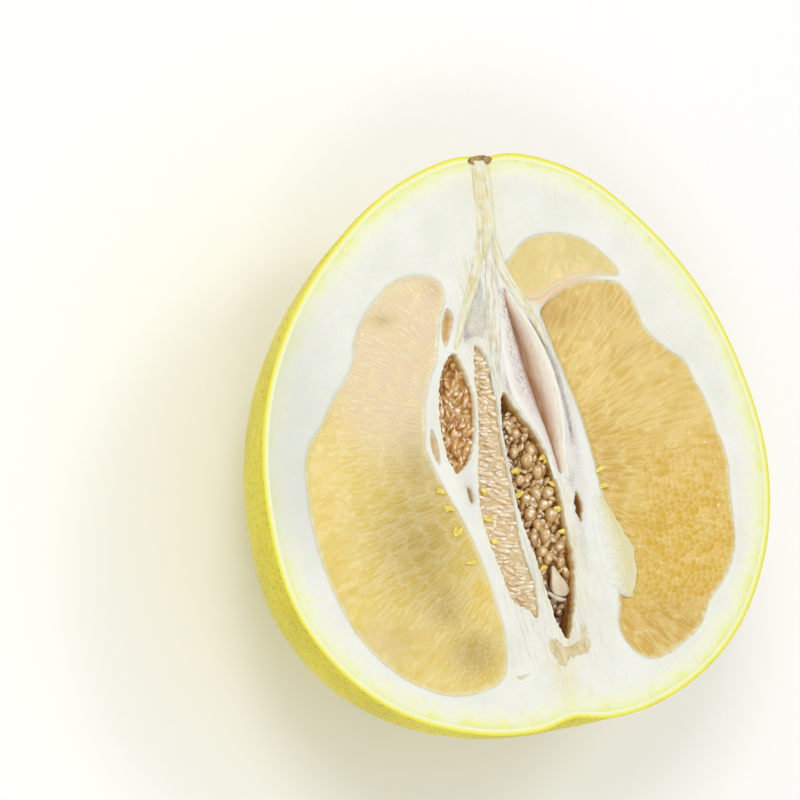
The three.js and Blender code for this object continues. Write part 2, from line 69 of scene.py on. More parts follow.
PULP_RIGHT = (
    (13.7, 36.8), (14.9, 38.6), (20.1, 42.2), (26, 44.5), (30.6, 45.4), (35.3, 45), (40.5, 44.2),
    (44, 40.3), (45.7, 35.7), (46.9, 31), (49.8, 27), (53.9, 22.9), (58.5, 19.4), (60.8, 13.6),
    (63.7, 6.6), (65.5, -1.5), (67.5, -10.8), (66.7, -20.1), (66.1, -29.4), (64.9, -37.6),
    (60.8, -45.1), (53.9, -52.1), (49.2, -59.1), (43.4, -63.2), (37.6, -66.1), (32.3, -67.2),
    (27.1, -64.9), (23.6, -59.7), (23, -55.6), (24.2, -51), (25.4, -38), (25.6, -28),
    (24.2, -16.7), (23.4, -7.3), (22.5, -0.4), (21.3, 6.6), (19, 15.9), (17.2, 22.9),
    (15.5, 29.9), (14.3, 34.5),
)
PULP_UPPER = (
    (5.1, 48.4), (5.6, 51.3), (7.6, 54.1), (10.1, 56.6), (13.3, 58.8), (16.9, 59.9), (22.9, 60.2),
    (27.1, 59.5), (32.9, 57.2), (37.6, 53.1), (41.6, 48.2), (41.5, 46.4), (36, 46.8), (28, 46.6),
    (20, 44.1), (14.3, 41.4), (10.1, 41.8), (6.9, 43.4), (5.4, 45.6),
)
POCKET_LEFT = (
    (-16, 26.8), (-13.6, 21.5), (-12.2, 13), (-13.2, 5), (-15.2, -2.4), (-18.6, -6.8), (-21, -8),
    (-22.8, -4), (-23.7, 3), (-23.2, 12), (-21, 20.5),
)
POCKET_MIDDLE = (
    (-8.4, 28.4), (-5.8, 25), (-4.9, 16), (-5.3, 4), (-4.9, -9), (-4.6, -22), (-4.1, -32),
    (-2.5, -40), (-2.1, -47), (-3, -51.6), (-6, -48.6), (-9.4, -46.4), (-11.6, -38.4),
    (-13.8, -29.5), (-15.2, -20), (-14.4, -10), (-12.6, 0), (-10.8, 11), (-10.3, 21),
)
POCKET_RIGHT = (
    (-2.4, 14), (1.2, 8.6), (5.4, 1.8), (8.6, -5.6), (10.4, -14.5), (11, -26), (11.4, -37),
    (10.2, -46), (7.9, -54), (5.7, -59), (3.2, -54), (1.7, -46), (0, -36), (-2, -27), (-3.6, -17),
    (-4.3, -6), (-4.3, 4),
)
SLIVER_UPPER = (
    (-15.6, 39.9), (-14.4, 37.4), (-15.6, 33.4), (-18.2, 28.9), (-18.9, 31), (-17.6, 37),
)
SLIVER_LOWER = (
    (-26.8, 5), (-25.7, 2), (-25.6, -2), (-26, -5.4), (-27, -3.6), (-27.7, 0), (-27.5, 3),
)
CORE_HOLLOW = (
    (3, 43), (6.2, 38), (9.4, 32), (12.2, 26.4), (14, 20), (15, 12), (15, 4), (14.2, -4),
    (12.2, -11), (10.6, -8), (8.4, -1.6), (4.6, 5.4), (1.6, 10.8), (0, 17), (-0.2, 25), (0.9, 33),
    (2, 39),
)
LEFT_HOLLOW = (
    (-3.4, 49.4), (-2.9, 42), (-3.6, 35), (-5.2, 30), (-8.6, 30.8), (-11.8, 29), (-12.4, 31.6),
    (-9.9, 38.1), (-7, 44.4),
)
RIGHT_SLIT = (
    (9.6, 36.4), (12.6, 31), (14.9, 25.6), (16.6, 19), (17.6, 10), (18, 3), (17.4, -3), (17, 4),
    (16.4, 12), (15.2, 19), (13.4, 26), (11.4, 31),
)
RIGHT_HOLE = ((16.1, -16.4), (17.4, -19.6), (17.3, -22.2), (16, -25.4), (14.9, -21.9), (15.1, -19))
LEFT_CLEFT = ((-18.4, -12.4), (-17.3, -13.2), (-17.1, -16.8), (-17.9, -16.9))
FOOT_CLEFT = ((-12.4, -67.9), (-10, -67.6), (-7.8, -67.5), (-9.4, -68.4), (-11.4, -68.9))
FIBRE_PATCH = (
    (0.1, -56.8), (2.8, -59.6), (5.9, -60.6), (8.6, -59), (10.6, -54.4), (12.3, -58), (12, -63),
    (9.1, -64.4), (5.9, -64.8), (3.7, -68.2), (1.2, -65.5), (-1.4, -61),
)

# The hollow core's crease, [x, y, height], and the X of its two folds' upper edges beside it
CREASE = (
    (4.0, 40.6, -1.8), (6.2, 34.5, -5), (7.9, 28, -6), (9.0, 21, -6), (10.4, 14, -6),
    (11.3, 7.4, -5.5), (11.9, 1, -4.5), (12.0, -5, -3), (12.1, -12.5, -1.2),
)
LEFT_EDGE = (2.7, 1.6, 0.8, 0.8, 1.4, 4.6, 8, 10.3, 11.6)
RIGHT_EDGE = (4.3, 7.9, 10.9, 13.1, 14.2, 14.5, 13.9, 12.9, 12.6)

# Sheets: at places along each, points from one edge to the other, [x, y, height]
FLAP = (
    ((20.8, -18.6, -0.3), (22.4, -18.8, 0.5), (24.6, -19.2, 0.1)),
    ((20.2, -23, -0.3), (23.6, -24.2, 1.2), (26.8, -25, 0.5)),
    ((19.8, -28, -0.3), (24.6, -29.4, 1.6), (29.0, -30, 0.7)),
    ((20, -34, -0.3), (25.6, -34.6, 1.7), (30.8, -35.4, 0.8)),
    ((20.4, -39, -0.3), (25.8, -39.6, 1.5), (31.0, -40.4, 0.7)),
    ((21.4, -43.4, -0.3), (25.8, -44.0, 1.0), (29.9, -45, 0.5)),
    ((24.6, -46.8, -0.4), (26.4, -47.6, 0.3), (28.4, -48.2, 0.1)),
    ((26.2, -48.4, -0.3), (26.6, -48.6, 0.0), (27.2, -48.8, -0.1)),
)
SMALL_SEEDS = (
    (-26.6, 1.6, -2.3), (-26.5, -1.6, -2.3), (-18.4, -5, -3.4), (-14.4, -2, -2.6),
    (-12.4, -13.9, -2), (-12.8, -22, -2), (-11.5, -28.7, -2), (-0.8, -8.4, -4.2),
    (-0.7, -15.4, -4.2), (2.9, -37.6, -4.2), (8.1, -5.4, -2.5), (9.9, -13.5, -2.5),
    (10.4, -20.8, -2.5), (10.7, -27.5, -2.5), (-26.6, -13, -0.6), (-25.2, -18, -0.6),
    (-23.4, -25, -0.6), (-21, -34, -0.6), (25.4, -15.5, -0.6), (24.8, -10.8, -0.6),
)
FLAT_SEED = (
    (6.4, -36.8), (8.4, -39.9), (10.3, -43.2), (10.4, -44.8), (8.9, -46.1), (5.5, -45.3),
    (5.0, -43.2), (5.7, -39.6),
)


# Grain of the cut face, in millimetres
TEAR_LENGTH = 1.4  # from one bump of a torn edge to the next
RAY_REACH = 50.0  # how far from their root the sacs have the width that is given for them

# Soft patches on the cut face, [strength, x, y, half its width, half its height]
LEFT_SHADES = (
    (0.8, -36, -27, 14, 17), (0.75, -24, -60, 8, 7), (0.55, -31, -46, 6, 6), (0.4, -33, -4, 7, 11),
    (0.5, -37, 38, 4, 2.2), (0.25, -22, -6, 5, 12), (0.35, -19, 46, 3, 3), (0.3, -48, -55, 9, 7),
)
LEFT_ROUND_SACS = ((1.3, -24, -60, 8, 7), (0.9, -31, -48, 5, 5))
# LEFT_GLINTS: patches where more painted highlights lie
LEFT_GLINTS = ((1.0, -34, -38, 10, 4), (1.0, -22, 46, 5, 5))
RIGHT_SMOOTH = ((1.0, 60, 2, 15, 22), (0.9, 46, 10, 12, 12))
RIGHT_BLUSHES = ((0.9, 46, -40, 22, 17), (0.6, 60, -22, 14, 24), (0.3, 42, -16, 16, 10))
RIGHT_SHADES = (
    (0.7, 16, 36, 7, 5), (0.3, 30, 38, 14, 7), (0.35, 42, 24, 6, 3), (0.35, 40, -57, 16, 8),
    (0.3, 27, -10, 6, 16),
)
RIGHT_DIPS = ((2.0, 13, 34, 9, 16), (0.9, 22, 6, 6, 22), (0.5, 24, -58, 8, 10))
PITH_LILACS = (
    (0.9, 0.2, 17, 1.4, 3.5), (0.7, -10.4, 32.5, 2.2, 3.6), (0.5, 15, -12, 1.5, 4),
    (0.4, 17.5, -6, 2.2, 12), (0.3, -18, -11, 2, 5), (0.35, 15.5, -30, 1.3, 7),
)
PITH_FIBRES = (
    (0.9, 2.8, -67, 4.5, 8), (0.72, 2.4, -73, 2.4, 5), (0.5, -8.5, 42, 2.6, 12),
    (0.5, 6.5, 44, 3, 7), (0.35, 13, -38, 2.2, 20), (0.25, -14.5, -62, 2.5, 9),
)


# Shape of the whole fruit

def step_up(low, high, x):
    """0 below low, 1 above high, and smooth between."""
    t = np.clip((np.asarray(x, float) - low) / (high - low), 0.0, 1.0)
    return t * t * (3 - 2 * t)


def rim_radius(degrees):
    """The rim of the cut face, from the core, by a smooth curve through RIM_RADII."""
    radii = np.array(RIM_RADII)
    angle = np.mod(degrees, 360.0)
    i = np.floor(angle / RIM_STEP).astype(int)
    t = angle / RIM_STEP - i
    a, b, c, d = (radii[(i + k) % len(radii)] for k in (-1, 0, 1, 2))
    smooth = b + 0.5 * t * (c - a + t * (2 * a - 5 * b + 4 * c - d + t * (3 * (b - c) + d - a)))
    from_stem = np.minimum(angle, 360.0 - angle)
    dimple = STEM_DIMPLE[0] * np.exp(-((from_stem / STEM_DIMPLE[1]) ** 2))
    dent = BLOSSOM_DENT[0] * np.exp(-(((180.0 - from_stem) / BLOSSOM_DENT[1]) ** 2))
    return smooth - dimple - dent


def skin_radius(from_stem, turn):
    """The skin's distance from the fruit's middle; turn is 0 at the right and 180 at the left."""
    left = (1 - np.cos(np.radians(turn))) / 2
    return (1 - left) * rim_radius(from_stem) + left * rim_radius(360.0 - from_stem)


def skin_point(from_stem, turn, inset):
    """Points of the skin, inset by some millimetres."""
    radius = skin_radius(from_stem, turn) - inset
    tilt, roll = np.radians(from_stem), np.radians(turn)
    return np.stack([
        CORE_X + radius * np.sin(tilt) * np.cos(roll),
        radius * np.cos(tilt),
        FACE_Z - radius * np.sin(tilt) * np.sin(roll) * DEPTH_SHARE,
    ], -1)


def rim_inset(xy):
    """How far inside the rim a point of the cut face lies."""
    away = xy - (CORE_X, 0.0)
    return rim_radius(np.degrees(np.arctan2(away[:, 0], away[:, 1]))) - np.hypot(*away.T)


def pith_inset(from_stem):
    return RIND + PITH_BELOW + (PITH_AT_STEM - PITH_BELOW) * (1 - step_up(15, 75, from_stem))


def bowl_height(xy):
    """How high above the floor the pith below the pulp is, at points of the cut face."""
    across = np.abs(xy[:, 0] - CORE_X)
    side = np.sign(xy[:, 0] - CORE_X)
    radius = np.full(len(xy), 65.0)
    turn = np.full(len(xy), 90.0)
    for _ in range(12):
        from_stem = np.degrees(np.arccos(np.clip(xy[:, 1] / radius, -1, 1)))
        ring = np.maximum(radius * np.sin(np.radians(from_stem)), 1e-3)
        turn = np.degrees(np.arccos(np.clip(side * across / ring, -1, 1)))
        radius = skin_radius(from_stem, turn) - pith_inset(from_stem)
    return FACE_Z - ring * np.sin(np.radians(turn)) * DEPTH_SHARE


# Outlines and patterns on the cut face

def smooth_loop(points, spacing):
    """Evenly spaced points of a closed smooth curve through the given ones, counterclockwise."""
    p = np.array(points, float)
    a, b, c, d = (np.roll(p, k, 0)[:, None] for k in (1, 0, -1, -2))
    u, v, w = (np.sqrt(np.linalg.norm(e - s, axis=-1, keepdims=True)) for s, e in ((a, b), (b, c), (c, d)))
    leave = ((b - a) / u - (c - a) / (u + v) + (c - b) / v) * v
    arrive = ((c - b) / v - (d - b) / (v + w) + (d - c) / w) * v
    t = np.linspace(0, 1, 24, endpoint=False)[None, :, None]
    curve = b + t * (leave + t * (3 * (c - b) - 2 * leave - arrive + t * (2 * (b - c) + leave + arrive)))
    curve = curve.reshape(-1, 2)
    closed = np.vstack([curve, curve[:1]])
    run = np.concatenate([[0], np.cumsum(np.hypot(*np.diff(closed, axis=0).T))])
    count = max(12, int(run[-1] / spacing))
    at = np.linspace(0, run[-1], count, endpoint=False)
    loop = np.stack([np.interp(at, run, closed[:, k]) for k in (0, 1)], 1)
    area = np.sum(loop[:, 0] * np.roll(loop[:, 1], -1) - np.roll(loop[:, 0], -1) * loop[:, 1])
    return loop if area > 0 else loop[::-1]


def grown(loop, by):
    """The loop moved outwards by some millimetres."""
    ahead = np.roll(loop, -1, 0) - np.roll(loop, 1, 0)
    ahead /= np.hypot(*ahead.T)[:, None]
    return loop + by * np.stack([ahead[:, 1], -ahead[:, 0]], 1)


def torn(loop, by, seed):
    """The loop with small bumps along it, as a torn edge has."""
    return grown(loop, by * rough(loop, TEAR_LENGTH, seed)[:, None])


def depth_in(loop, xy, margin):
    """How far inside a loop each point lies. Outside it is negative, down to -margin."""
    depth = np.full(len(xy), -margin)
    low, high = loop.min(0) - margin, loop.max(0) + margin
    near = np.flatnonzero(np.all((xy > low) & (xy < high), axis=1))
    tree = kdtree.KDTree(len(loop))
    for k, (x, y) in enumerate(loop):
        tree.insert((x, y, 0), k)
    tree.balance()
    q = xy[near]
    corner = np.array([tree.find((x, y, 0))[1] for x, y in q], int)
    gap, side = np.full(len(q), np.inf), np.zeros(len(q))
    ends = [loop[corner - 1], loop[corner], loop[(corner + 1) % len(loop)]]
    along = [b - a for a, b in zip(ends, ends[1:])]
    course = sum(ab / np.linalg.norm(ab, axis=1, keepdims=True) for ab in along)
    for a, ab in zip(ends, along):
        t = np.clip(((q - a) * ab).sum(1) / (ab ** 2).sum(1), 0, 1)
        away = q - a - t[:, None] * ab
        closer = np.hypot(*away.T) < gap
        gap = np.where(closer, np.hypot(*away.T), gap)
        side = np.where(closer, course[:, 0] * away[:, 1] - course[:, 1] * away[:, 0], side)
    depth[near] = np.where(side > 0, gap, np.maximum(-gap, -margin))
    return depth


def dots(low, high, spacing, seed):
    """Points over a box of the face, in staggered rows, each a little off its place."""
    rows = np.arange(low[1], high[1], spacing * 0.866)
    columns = np.arange(low[0], high[0], spacing)
    x, y = np.meshgrid(columns, rows)
    x = x + 0.5 * spacing * (np.arange(len(rows)) % 2)[:, None]
    stray = np.random.default_rng(seed).uniform(-0.18, 0.18, (x.size, 2)) * spacing
    return np.stack([x.ravel(), y.ravel()], 1) + stray


def dots_in(loop, spacing, seed, margin):
    """The same inside a loop, no nearer to it than a margin."""
    spread = dots(loop.min(0), loop.max(0), spacing, seed)
    return spread[depth_in(loop, spread, margin + 1.0) > margin]


def rough(xy, scale, seed, octaves=3):
    """Smooth noise over the face, about -1 to 1, with features of some millimetres."""
    shift = 17.3 * seed
    return np.array([
        noise.fractal((x / scale + shift, y / scale - shift, 0.37 * seed), 1.0, 2.0, octaves)
        for x, y in xy
    ])


def blot(xy, x, y, wide, tall):
    """A soft round patch on the face, 1 in its middle."""
    return np.exp(-((xy[:, 0] - x) / wide) ** 2 - ((xy[:, 1] - y) / tall) ** 2)


def blots(xy, patches):
    """Such patches together, each with its strength."""
    return sum(strength * blot(xy, *place) for strength, *place in patches)


def cells(u, v, seed):
    """Cells round the strayed points of a lattice: each place's distance from its cell's wall, and
    its cell's own draw from 0 to 1."""
    size = 128
    draws = np.random.default_rng(seed).random((3, size, size))
    best, second = np.full(u.shape, 9.0), np.full(u.shape, 9.0)
    own = np.zeros(u.shape)
    column, row = np.floor(u).astype(int), np.floor(v).astype(int)
    for a in (-1, 0, 1):
        for b in (-1, 0, 1):
            i, j = column + a, row + b
            at = (i % size, j % size)
            away = np.hypot(i + 0.1 + 0.8 * draws[0][at] - u, j + 0.1 + 0.8 * draws[1][at] - v)
            closer = away < best
            second = np.where(closer, best, np.minimum(second, away))
            own = np.where(closer, draws[2][at], own)
            best = np.where(closer, away, best)
    return second - best, own


def rays(xy, root):
    """Where points lie along and across the lines that radiate from a root, in millimetres, the
    second as it is RAY_REACH away from it."""
    away = xy - root
    return np.hypot(*away.T), np.arctan2(away[:, 1], np.abs(away[:, 0])) * RAY_REACH


def juice_sacs(xy, root, length, width, seed):
    """Sacs that radiate from a root and are this long, and this wide 50 mm away from it: how
    far into its sac each point is, 0 to 1, and the sac's own draw."""
    along, across = rays(xy, root)
    wobble = 0.45 * rough(xy, 13.0, seed, 2)
    gap, own = cells(along / length, across / width + wobble, seed)
    return step_up(-0.04, 0.5, gap), own


def ray_streaks(xy, root, length, width, seed):
    """Soft streaks along the same lines, about -1 to 1."""
    along, across = rays(xy, root)
    return rough(np.column_stack([along / length, across / width]), 1.0, seed, 3)


# Making meshes

def add_mesh(name, points, faces):
    """A new smooth piece from points in millimetres."""
    mesh = bpy.data.meshes.new(name)
    mesh.from_pydata((np.asarray(points) * MM).tolist(), [], faces)
    mesh.validate()
    mesh.shade_smooth()
    piece = bpy.data.objects.new(name, mesh)
    bpy.context.scene.collection.objects.link(piece)
    return piece


def select_only(*pieces):
    bpy.ops.object.select_all(action="DESELECT")
    for piece in pieces:
        piece.select_set(True)
    bpy.context.view_layer.objects.active = pieces[0]


def in_edit(piece, *steps):
    """Runs edit-mode steps on all of a piece."""
    select_only(piece)
    bpy.ops.object.mode_set(mode="EDIT")
    bpy.ops.mesh.select_all(action="SELECT")
    for step in steps:
        step()
    bpy.ops.object.mode_set(mode="OBJECT")


def face_out(piece):
    in_edit(piece, lambda: bpy.ops.mesh.remove_doubles(threshold=1e-6),
            lambda: bpy.ops.mesh.normals_make_consistent(inside=False))


def primitive(name, add, **sizes):
    """A primitive at its place, with its size in its mesh."""
    bpy.ops.object.select_all(action="DESELECT")
    add(**sizes)
    piece = bpy.context.object
    piece.name = piece.data.name = name
    bpy.ops.object.transform_apply(location=True, rotation=True, scale=True)
    return piece


def apply(piece, kind, **settings):
    """Adds a modifier and applies it."""
    select_only(piece)
    modifier = piece.modifiers.new(kind.lower(), kind)
    for key, value in settings.items():
        setattr(modifier, key, value)
    bpy.ops.object.modifier_apply(modifier=modifier.name)


def joined(name, pieces):
    select_only(*pieces)
    bpy.ops.object.join()
    pieces[0].name = pieces[0].data.name = name
    return pieces[0]


def points_of(piece):
    """A piece's points in millimetres."""
    flat = np.empty(len(piece.data.vertices) * 3)
    piece.data.vertices.foreach_get("co", flat)
    return flat.reshape(-1, 3) / MM


def move_to(piece, points):
    piece.data.vertices.foreach_set("co", (np.asarray(points) * MM).ravel())
    piece.data.update()


def mark(piece, name, values):
    """A number at each point, for the piece's material to read."""
    layer = piece.data.attributes.get(name) or piece.data.attributes.new(name, "FLOAT", "POINT")
    layer.data.foreach_set("value", np.broadcast_to(np.asarray(values, float), len(layer.data)).copy())


def value_of(piece, name):
    values = np.empty(len(piece.data.vertices))
    piece.data.attributes[name].data.foreach_get("value", values)
    return values


def fill_face(loops, inner):
    """Triangles between loops, the first outside and the others holes, through inner points.
    Returns the points, the triangles, and each loop's places among the points."""
    given = np.vstack([*loops, inner])
    edges, places, start = [], [], 0
    for loop in loops:
        here = np.arange(start, start + len(loop))
        places.append(here)
        edges += list(zip(here.tolist(), np.roll(here, -1).tolist()))
        start += len(loop)
    made = geometry.delaunay_2d_cdt([Vector(p) for p in given], edges, [], 0, 1e-6, True)
    points = np.array([tuple(p) for p in made[0]])
    triangles = np.array([f for f in made[2] if len(f) == 3])
    moved = np.full(len(given), -1)
    for new, olds in enumerate(made[3]):
        moved[olds] = new
    middle = points[triangles].mean(1)
    keep = depth_in(loops[0], middle, 1.0) > 0
    for hole in loops[1:]:
        keep &= depth_in(hole, middle, 1.0) < 0
    return points, triangles[keep], [moved[p] for p in places]


def strip(upper, lower):
    """Faces between two rings of as many points."""
    ahead_up, ahead_low = np.roll(upper, -1), np.roll(lower, -1)
    return np.stack([upper, lower, ahead_low, ahead_up], 1).tolist()


def smooth_within(piece, degrees):
    """Smooth shading, with the edges sharper than this left crisp."""
    select_only(piece)
    bpy.ops.object.shade_smooth_by_angle(angle=math.radians(degrees))


def surfaced(name, node, piece, material):
    """Names the piece for the frame and gives it its material."""
    piece.data.materials.clear()
    piece.data.materials.append(material)
    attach(piece, BODY)
    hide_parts(node)
    piece.name = piece.data.name = name
    return piece


# Materials

class Finish:
    """A material's nodes, added one after another."""

    def __init__(self, name):
        self.material = bpy.data.materials.new(name)
        self.material.use_nodes = True
        self.nodes = self.material.node_tree.nodes
        self.links = self.material.node_tree.links
        self.shader = self.nodes["Principled BSDF"]

    def add(self, kind, inputs=(), **settings):
        node = self.nodes.new(kind)
        for key, value in settings.items():
            setattr(node, key, value)
        for key, value in dict(inputs).items():
            self.set(node.inputs[key], value)
        return node

    def set(self, socket, value):
        if isinstance(value, bpy.types.NodeSocket):
            self.links.new(value, socket)
        else:
            socket.default_value = value

    def marked(self, name):
        return self.add("ShaderNodeAttribute", attribute_name=name).outputs["Fac"]

    def place(self, scale=(1, 1, 1), turn=0.0):
        """Object coordinates in millimetres, turned about Z in degrees and then stretched."""
        inputs = {
            "Vector": self.add("ShaderNodeTexCoord").outputs["Object"],
            "Rotation": (0, 0, math.radians(turn)), "Scale": [MM / s for s in scale],
        }
        return self.add("ShaderNodeMapping", inputs, vector_type="TEXTURE").outputs["Vector"]

    def noise(self, scale, detail, roughness=0.55, stretch=(1, 1, 1), distortion=0.0, turn=0.0):
        inputs = {"Vector": self.place(stretch, turn), "Scale": scale, "Detail": detail,
                  "Roughness": roughness, "Distortion": distortion}
        return self.add("ShaderNodeTexNoise", inputs).outputs["Fac"]

    def spots(self, scale):
        inputs = {"Vector": self.place(), "Scale": scale}
        return self.add("ShaderNodeTexVoronoi", inputs).outputs["Distance"]

    def ramp(self, value, *stops):
        node = self.add("ShaderNodeValToRGB", {"Fac": value})
        ramp = node.color_ramp
        ramp.interpolation = "EASE"
        while len(ramp.elements) < len(stops):
            ramp.elements.new(1.0)
        for element, (at, colour) in zip(ramp.elements, stops):
            element.position = at
            element.color = colour if len(colour) == 4 else (*colour, 1.0)
        return node.outputs["Color"]

    def range(self, value, low, high, to_low=0.0, to_high=1.0):
        inputs = {"Value": value, "From Min": low, "From Max": high, "To Min": to_low, "To Max": to_high}
        node = self.add("ShaderNodeMapRange", inputs, interpolation_type="SMOOTHSTEP")
        return node.outputs["Result"]

    def maths(self, operation, *values):
        node = self.add("ShaderNodeMath", operation=operation)
        for socket, value in zip(node.inputs, values):
            self.set(socket, value)
        return node.outputs[0]

    def mix(self, share, one, other):
        node = self.add("ShaderNodeMix", data_type="RGBA")
        for socket, value in ((node.inputs[0], share), (node.inputs[6], one), (node.inputs[7], other)):
            self.set(socket, value if not isinstance(value, tuple) else (*value, 1.0)[:4])
        return node.outputs[2]

    def bump(self, height, strength, distance):
        inputs = {"Height": height, "Strength": strength, "Distance": distance * MM}
        if self.shader.inputs["Normal"].is_linked:
            inputs["Normal"] = self.shader.inputs["Normal"].links[0].from_socket
        node = self.add("ShaderNodeBump", inputs)
        self.set(self.shader.inputs["Normal"], node.outputs["Normal"])

    def finish(self, **inputs):
        for key, value in inputs.items():
            self.set(self.shader.inputs[key.replace("_", " ")], value)
        return self.material

    def moist(self, colour, roughness, through, glow, coat=0.0):
        """A soft, translucent surface: through is how much light goes in, glow how far, in mm."""
        self.shader.inputs["Subsurface Radius"].default_value = (1.0, 0.62, 0.32)
        self.shader.inputs["Subsurface Scale"].default_value = glow * MM
        self.shader.inputs["Subsurface Weight"].default_value = through
        self.shader.inputs["Coat Weight"].default_value = coat
        self.shader.inputs["Coat Roughness"].default_value = 0.12
        return self.finish(Base_Color=colour, Roughness=roughness)


def rgb(red, green, blue):
    """A colour as seen on a screen, 0 to 255, as Blender's linear light."""
    def linear(c):
        c /= 255.0
        return c / 12.92 if c <= 0.04045 else ((c + 0.055) / 1.055) ** 2.4
    return (linear(red), linear(green), linear(blue))


def rind_finish():
    """Waxy yellow rind with fine sunken oil pores; the cut edge pales inwards."""
    f = Finish("yellow_rind")
    patches = f.noise(0.035, 4.0)
    skin = f.ramp(patches, (0.3, rgb(216, 200, 24)), (0.52, rgb(227, 213, 34)), (0.72, rgb(236, 222, 54)))
    small = f.spots(0.62)
    pore = f.range(small, 0.08, 0.45, 1.0, 0.0)
    faint = f.range(f.noise(0.16, 3.0), 0.35, 0.62)
    share = f.maths("MULTIPLY", pore, f.maths("MULTIPLY_ADD", faint, 0.3, 0.3))
    skin = f.mix(share, skin, rgb(154, 138, 12))
    edge = f.ramp(
        f.range(f.marked("inset"), 0.0, 2.0), (0.0, rgb(228, 222, 60)), (0.3, rgb(238, 236, 112)),
        (0.7, rgb(240, 242, 176)), (1.0, rgb(240, 242, 204)),
    )
    colour = f.mix(f.range(f.marked("inset"), 0.02, 0.2), skin, edge)
    f.bump(small, 0.5, 0.3)
    f.bump(f.noise(0.5, 3.0), 0.25, 0.3)
    f.shader.inputs["Specular IOR Level"].default_value = 0.25
    return f.moist(colour, f.range(pore, 0.0, 1.0, 0.4, 0.55), 0.08, 0.8)


def pith_finish():
    """Spongy white pith, lemon towards the rind, stained where membranes and pockets are, with painted shade
    on its left side and painted shade in the brown that deepens down into the pockets.
    """
    f = Finish("white_pith")
    inset = f.marked("inset")
    near = f.maths("ADD", inset, f.range(f.noise(0.2, 3.0), 0.2, 0.8, -1.6, 1.6))
    white = f.ramp(f.noise(0.07, 4.0), (0.3, rgb(230, 231, 219)), (0.7, rgb(238, 238, 229)))
    lemon = f.ramp(
        f.range(near, 0.6, 10.0), (0.0, rgb(236, 238, 150)), (0.18, rgb(238, 240, 190)),
        (0.45, rgb(238, 240, 212)), (1.0, rgb(236, 237, 224)),
    )
    colour = f.mix(f.range(near, 6.0, 11.0), lemon, white)
    # Painted shade: the pith's left side is darkened
    colour = f.mix(f.marked("painted_shade_left"), colour, rgb(210, 213, 203))
    where = f.add("ShaderNodeCombineXYZ", {
        "X": f.maths("MULTIPLY", f.marked("round"), 0.55), "Y": f.maths("MULTIPLY", inset, 0.16),
    }).outputs["Vector"]
    inputs = {"Vector": where, "Scale": 1.0, "Detail": 3.0, "Distortion": 0.8}
    veins = f.range(f.add("ShaderNodeTexNoise", inputs).outputs["Fac"], 0.6, 0.72)
    veins = f.maths("MULTIPLY", veins, f.range(inset, 2.0, 22.0, 0.5, 0.08))
    colour = f.mix(veins, colour, rgb(224, 226, 150))

    # Fibres that run down beside the pockets
    along_walls = f.noise(1.5, 4.0, 0.62, (1, 0.07, 1), 0.6, turn=7)
    fibre = f.marked("fibre")
    fibre = f.maths("MULTIPLY", fibre, f.range(along_walls, 0.42, 0.62, 0.35, 1.0))
    colour = f.mix(fibre, colour, rgb(232, 223, 170))
    thin = f.range(along_walls, 0.52, 0.62, 0.0, 0.6)
    colour = f.mix(f.maths("MULTIPLY", thin, f.marked("near_core")), colour, rgb(212, 200, 176))
    colour = f.mix(f.marked("pink"), colour, rgb(238, 204, 160))
    lilac = f.maths("MULTIPLY", f.marked("lilac"), f.range(f.noise(0.5, 4.0), 0.3, 0.65, 0.45, 1.0))
    colour = f.mix(lilac, colour, rgb(200, 190, 188))
    dots = f.maths("MULTIPLY", f.marked("lilac"), f.range(f.noise(1.7, 3.0, 0.7), 0.52, 0.7, 0.0, 0.8))
    colour = f.mix(dots, colour, rgb(134, 96, 90))
    # Brown deeper down the pockets' walls and in the core hollow: partly a juice stain, partly painted shade
    brown = f.maths("MULTIPLY", f.marked("brown"), f.range(f.noise(0.8, 3.0), 0.25, 0.6, 0.75, 1.0))
    amber = f.ramp(brown, (0.0, rgb(236, 220, 184)), (0.4, rgb(214, 182, 112)), (0.95, rgb(160, 100, 44)))
    colour = f.mix(f.range(brown, 0.0, 0.35), colour, amber)
    f.bump(f.noise(0.9, 5.0, 0.62), 0.4, 0.4)
    f.bump(along_walls, f.maths("MULTIPLY", f.marked("near_core"), 0.6), 0.5)
    return f.moist(colour, 0.62, 0.3, 1.4)


def flesh_finish(name, wall, juice, blush, shade):
    """Cut pulp: sacs full of juice between paler walls, in patches of other shades, with bright dashes of
    painted highlight.
    """
    f = Finish(name)
    deep = f.mix(f.marked("blush"), juice, blush)
    deep = f.mix(f.marked("shade"), deep, shade)
    pale = f.mix(f.maths("MULTIPLY", f.marked("shade"), 0.5), f.mix(0.35, wall, deep), shade)
    fill = f.maths("MULTIPLY", f.marked("fill"), f.range(f.marked("own"), 0.0, 1.0, 0.5, 1.0))
    cloud = f.range(f.noise(0.12, 4.0), 0.3, 0.7, -0.16, 0.16)
    streak = f.range(f.marked("streak"), 0.2, 0.8, -0.26, 0.26)
    fill = f.maths("ADD", fill, f.maths("ADD", cloud, streak))
    colour = f.mix(f.range(fill, -0.1, 1.0), pale, deep)
    blurred = f.range(f.noise(0.5, 3.0), 0.3, 0.7, 0.3, 1.0)
    edge = f.maths("MULTIPLY", f.range(f.marked("edge"), 0.0, 1.5, 0.85, 0.0), blurred)
    colour = f.mix(edge, colour, rgb(240, 228, 196))
    # Painted highlights: near-white dashes along the sacs
    broken = f.range(f.noise(1.0, 2.0), 0.35, 0.5)
    dashes = f.maths("MULTIPLY", f.range(f.marked("glint"), 0.3, 0.7), broken)
    colour = f.mix(f.maths("MULTIPLY", dashes, 0.85), colour, rgb(252, 247, 232))
    f.bump(f.noise(0.8, 4.0, 0.6), 0.25, 0.3)
    f.bump(f.noise(2.6, 3.0, 0.6), 0.2, 0.12)
    f.bump(f.marked("fill"), 0.12, 0.2)
    return f.moist(colour, f.range(f.noise(0.7, 2.0), 0.3, 0.7, 0.28, 0.48), 0.5, 2.0, 0.15)


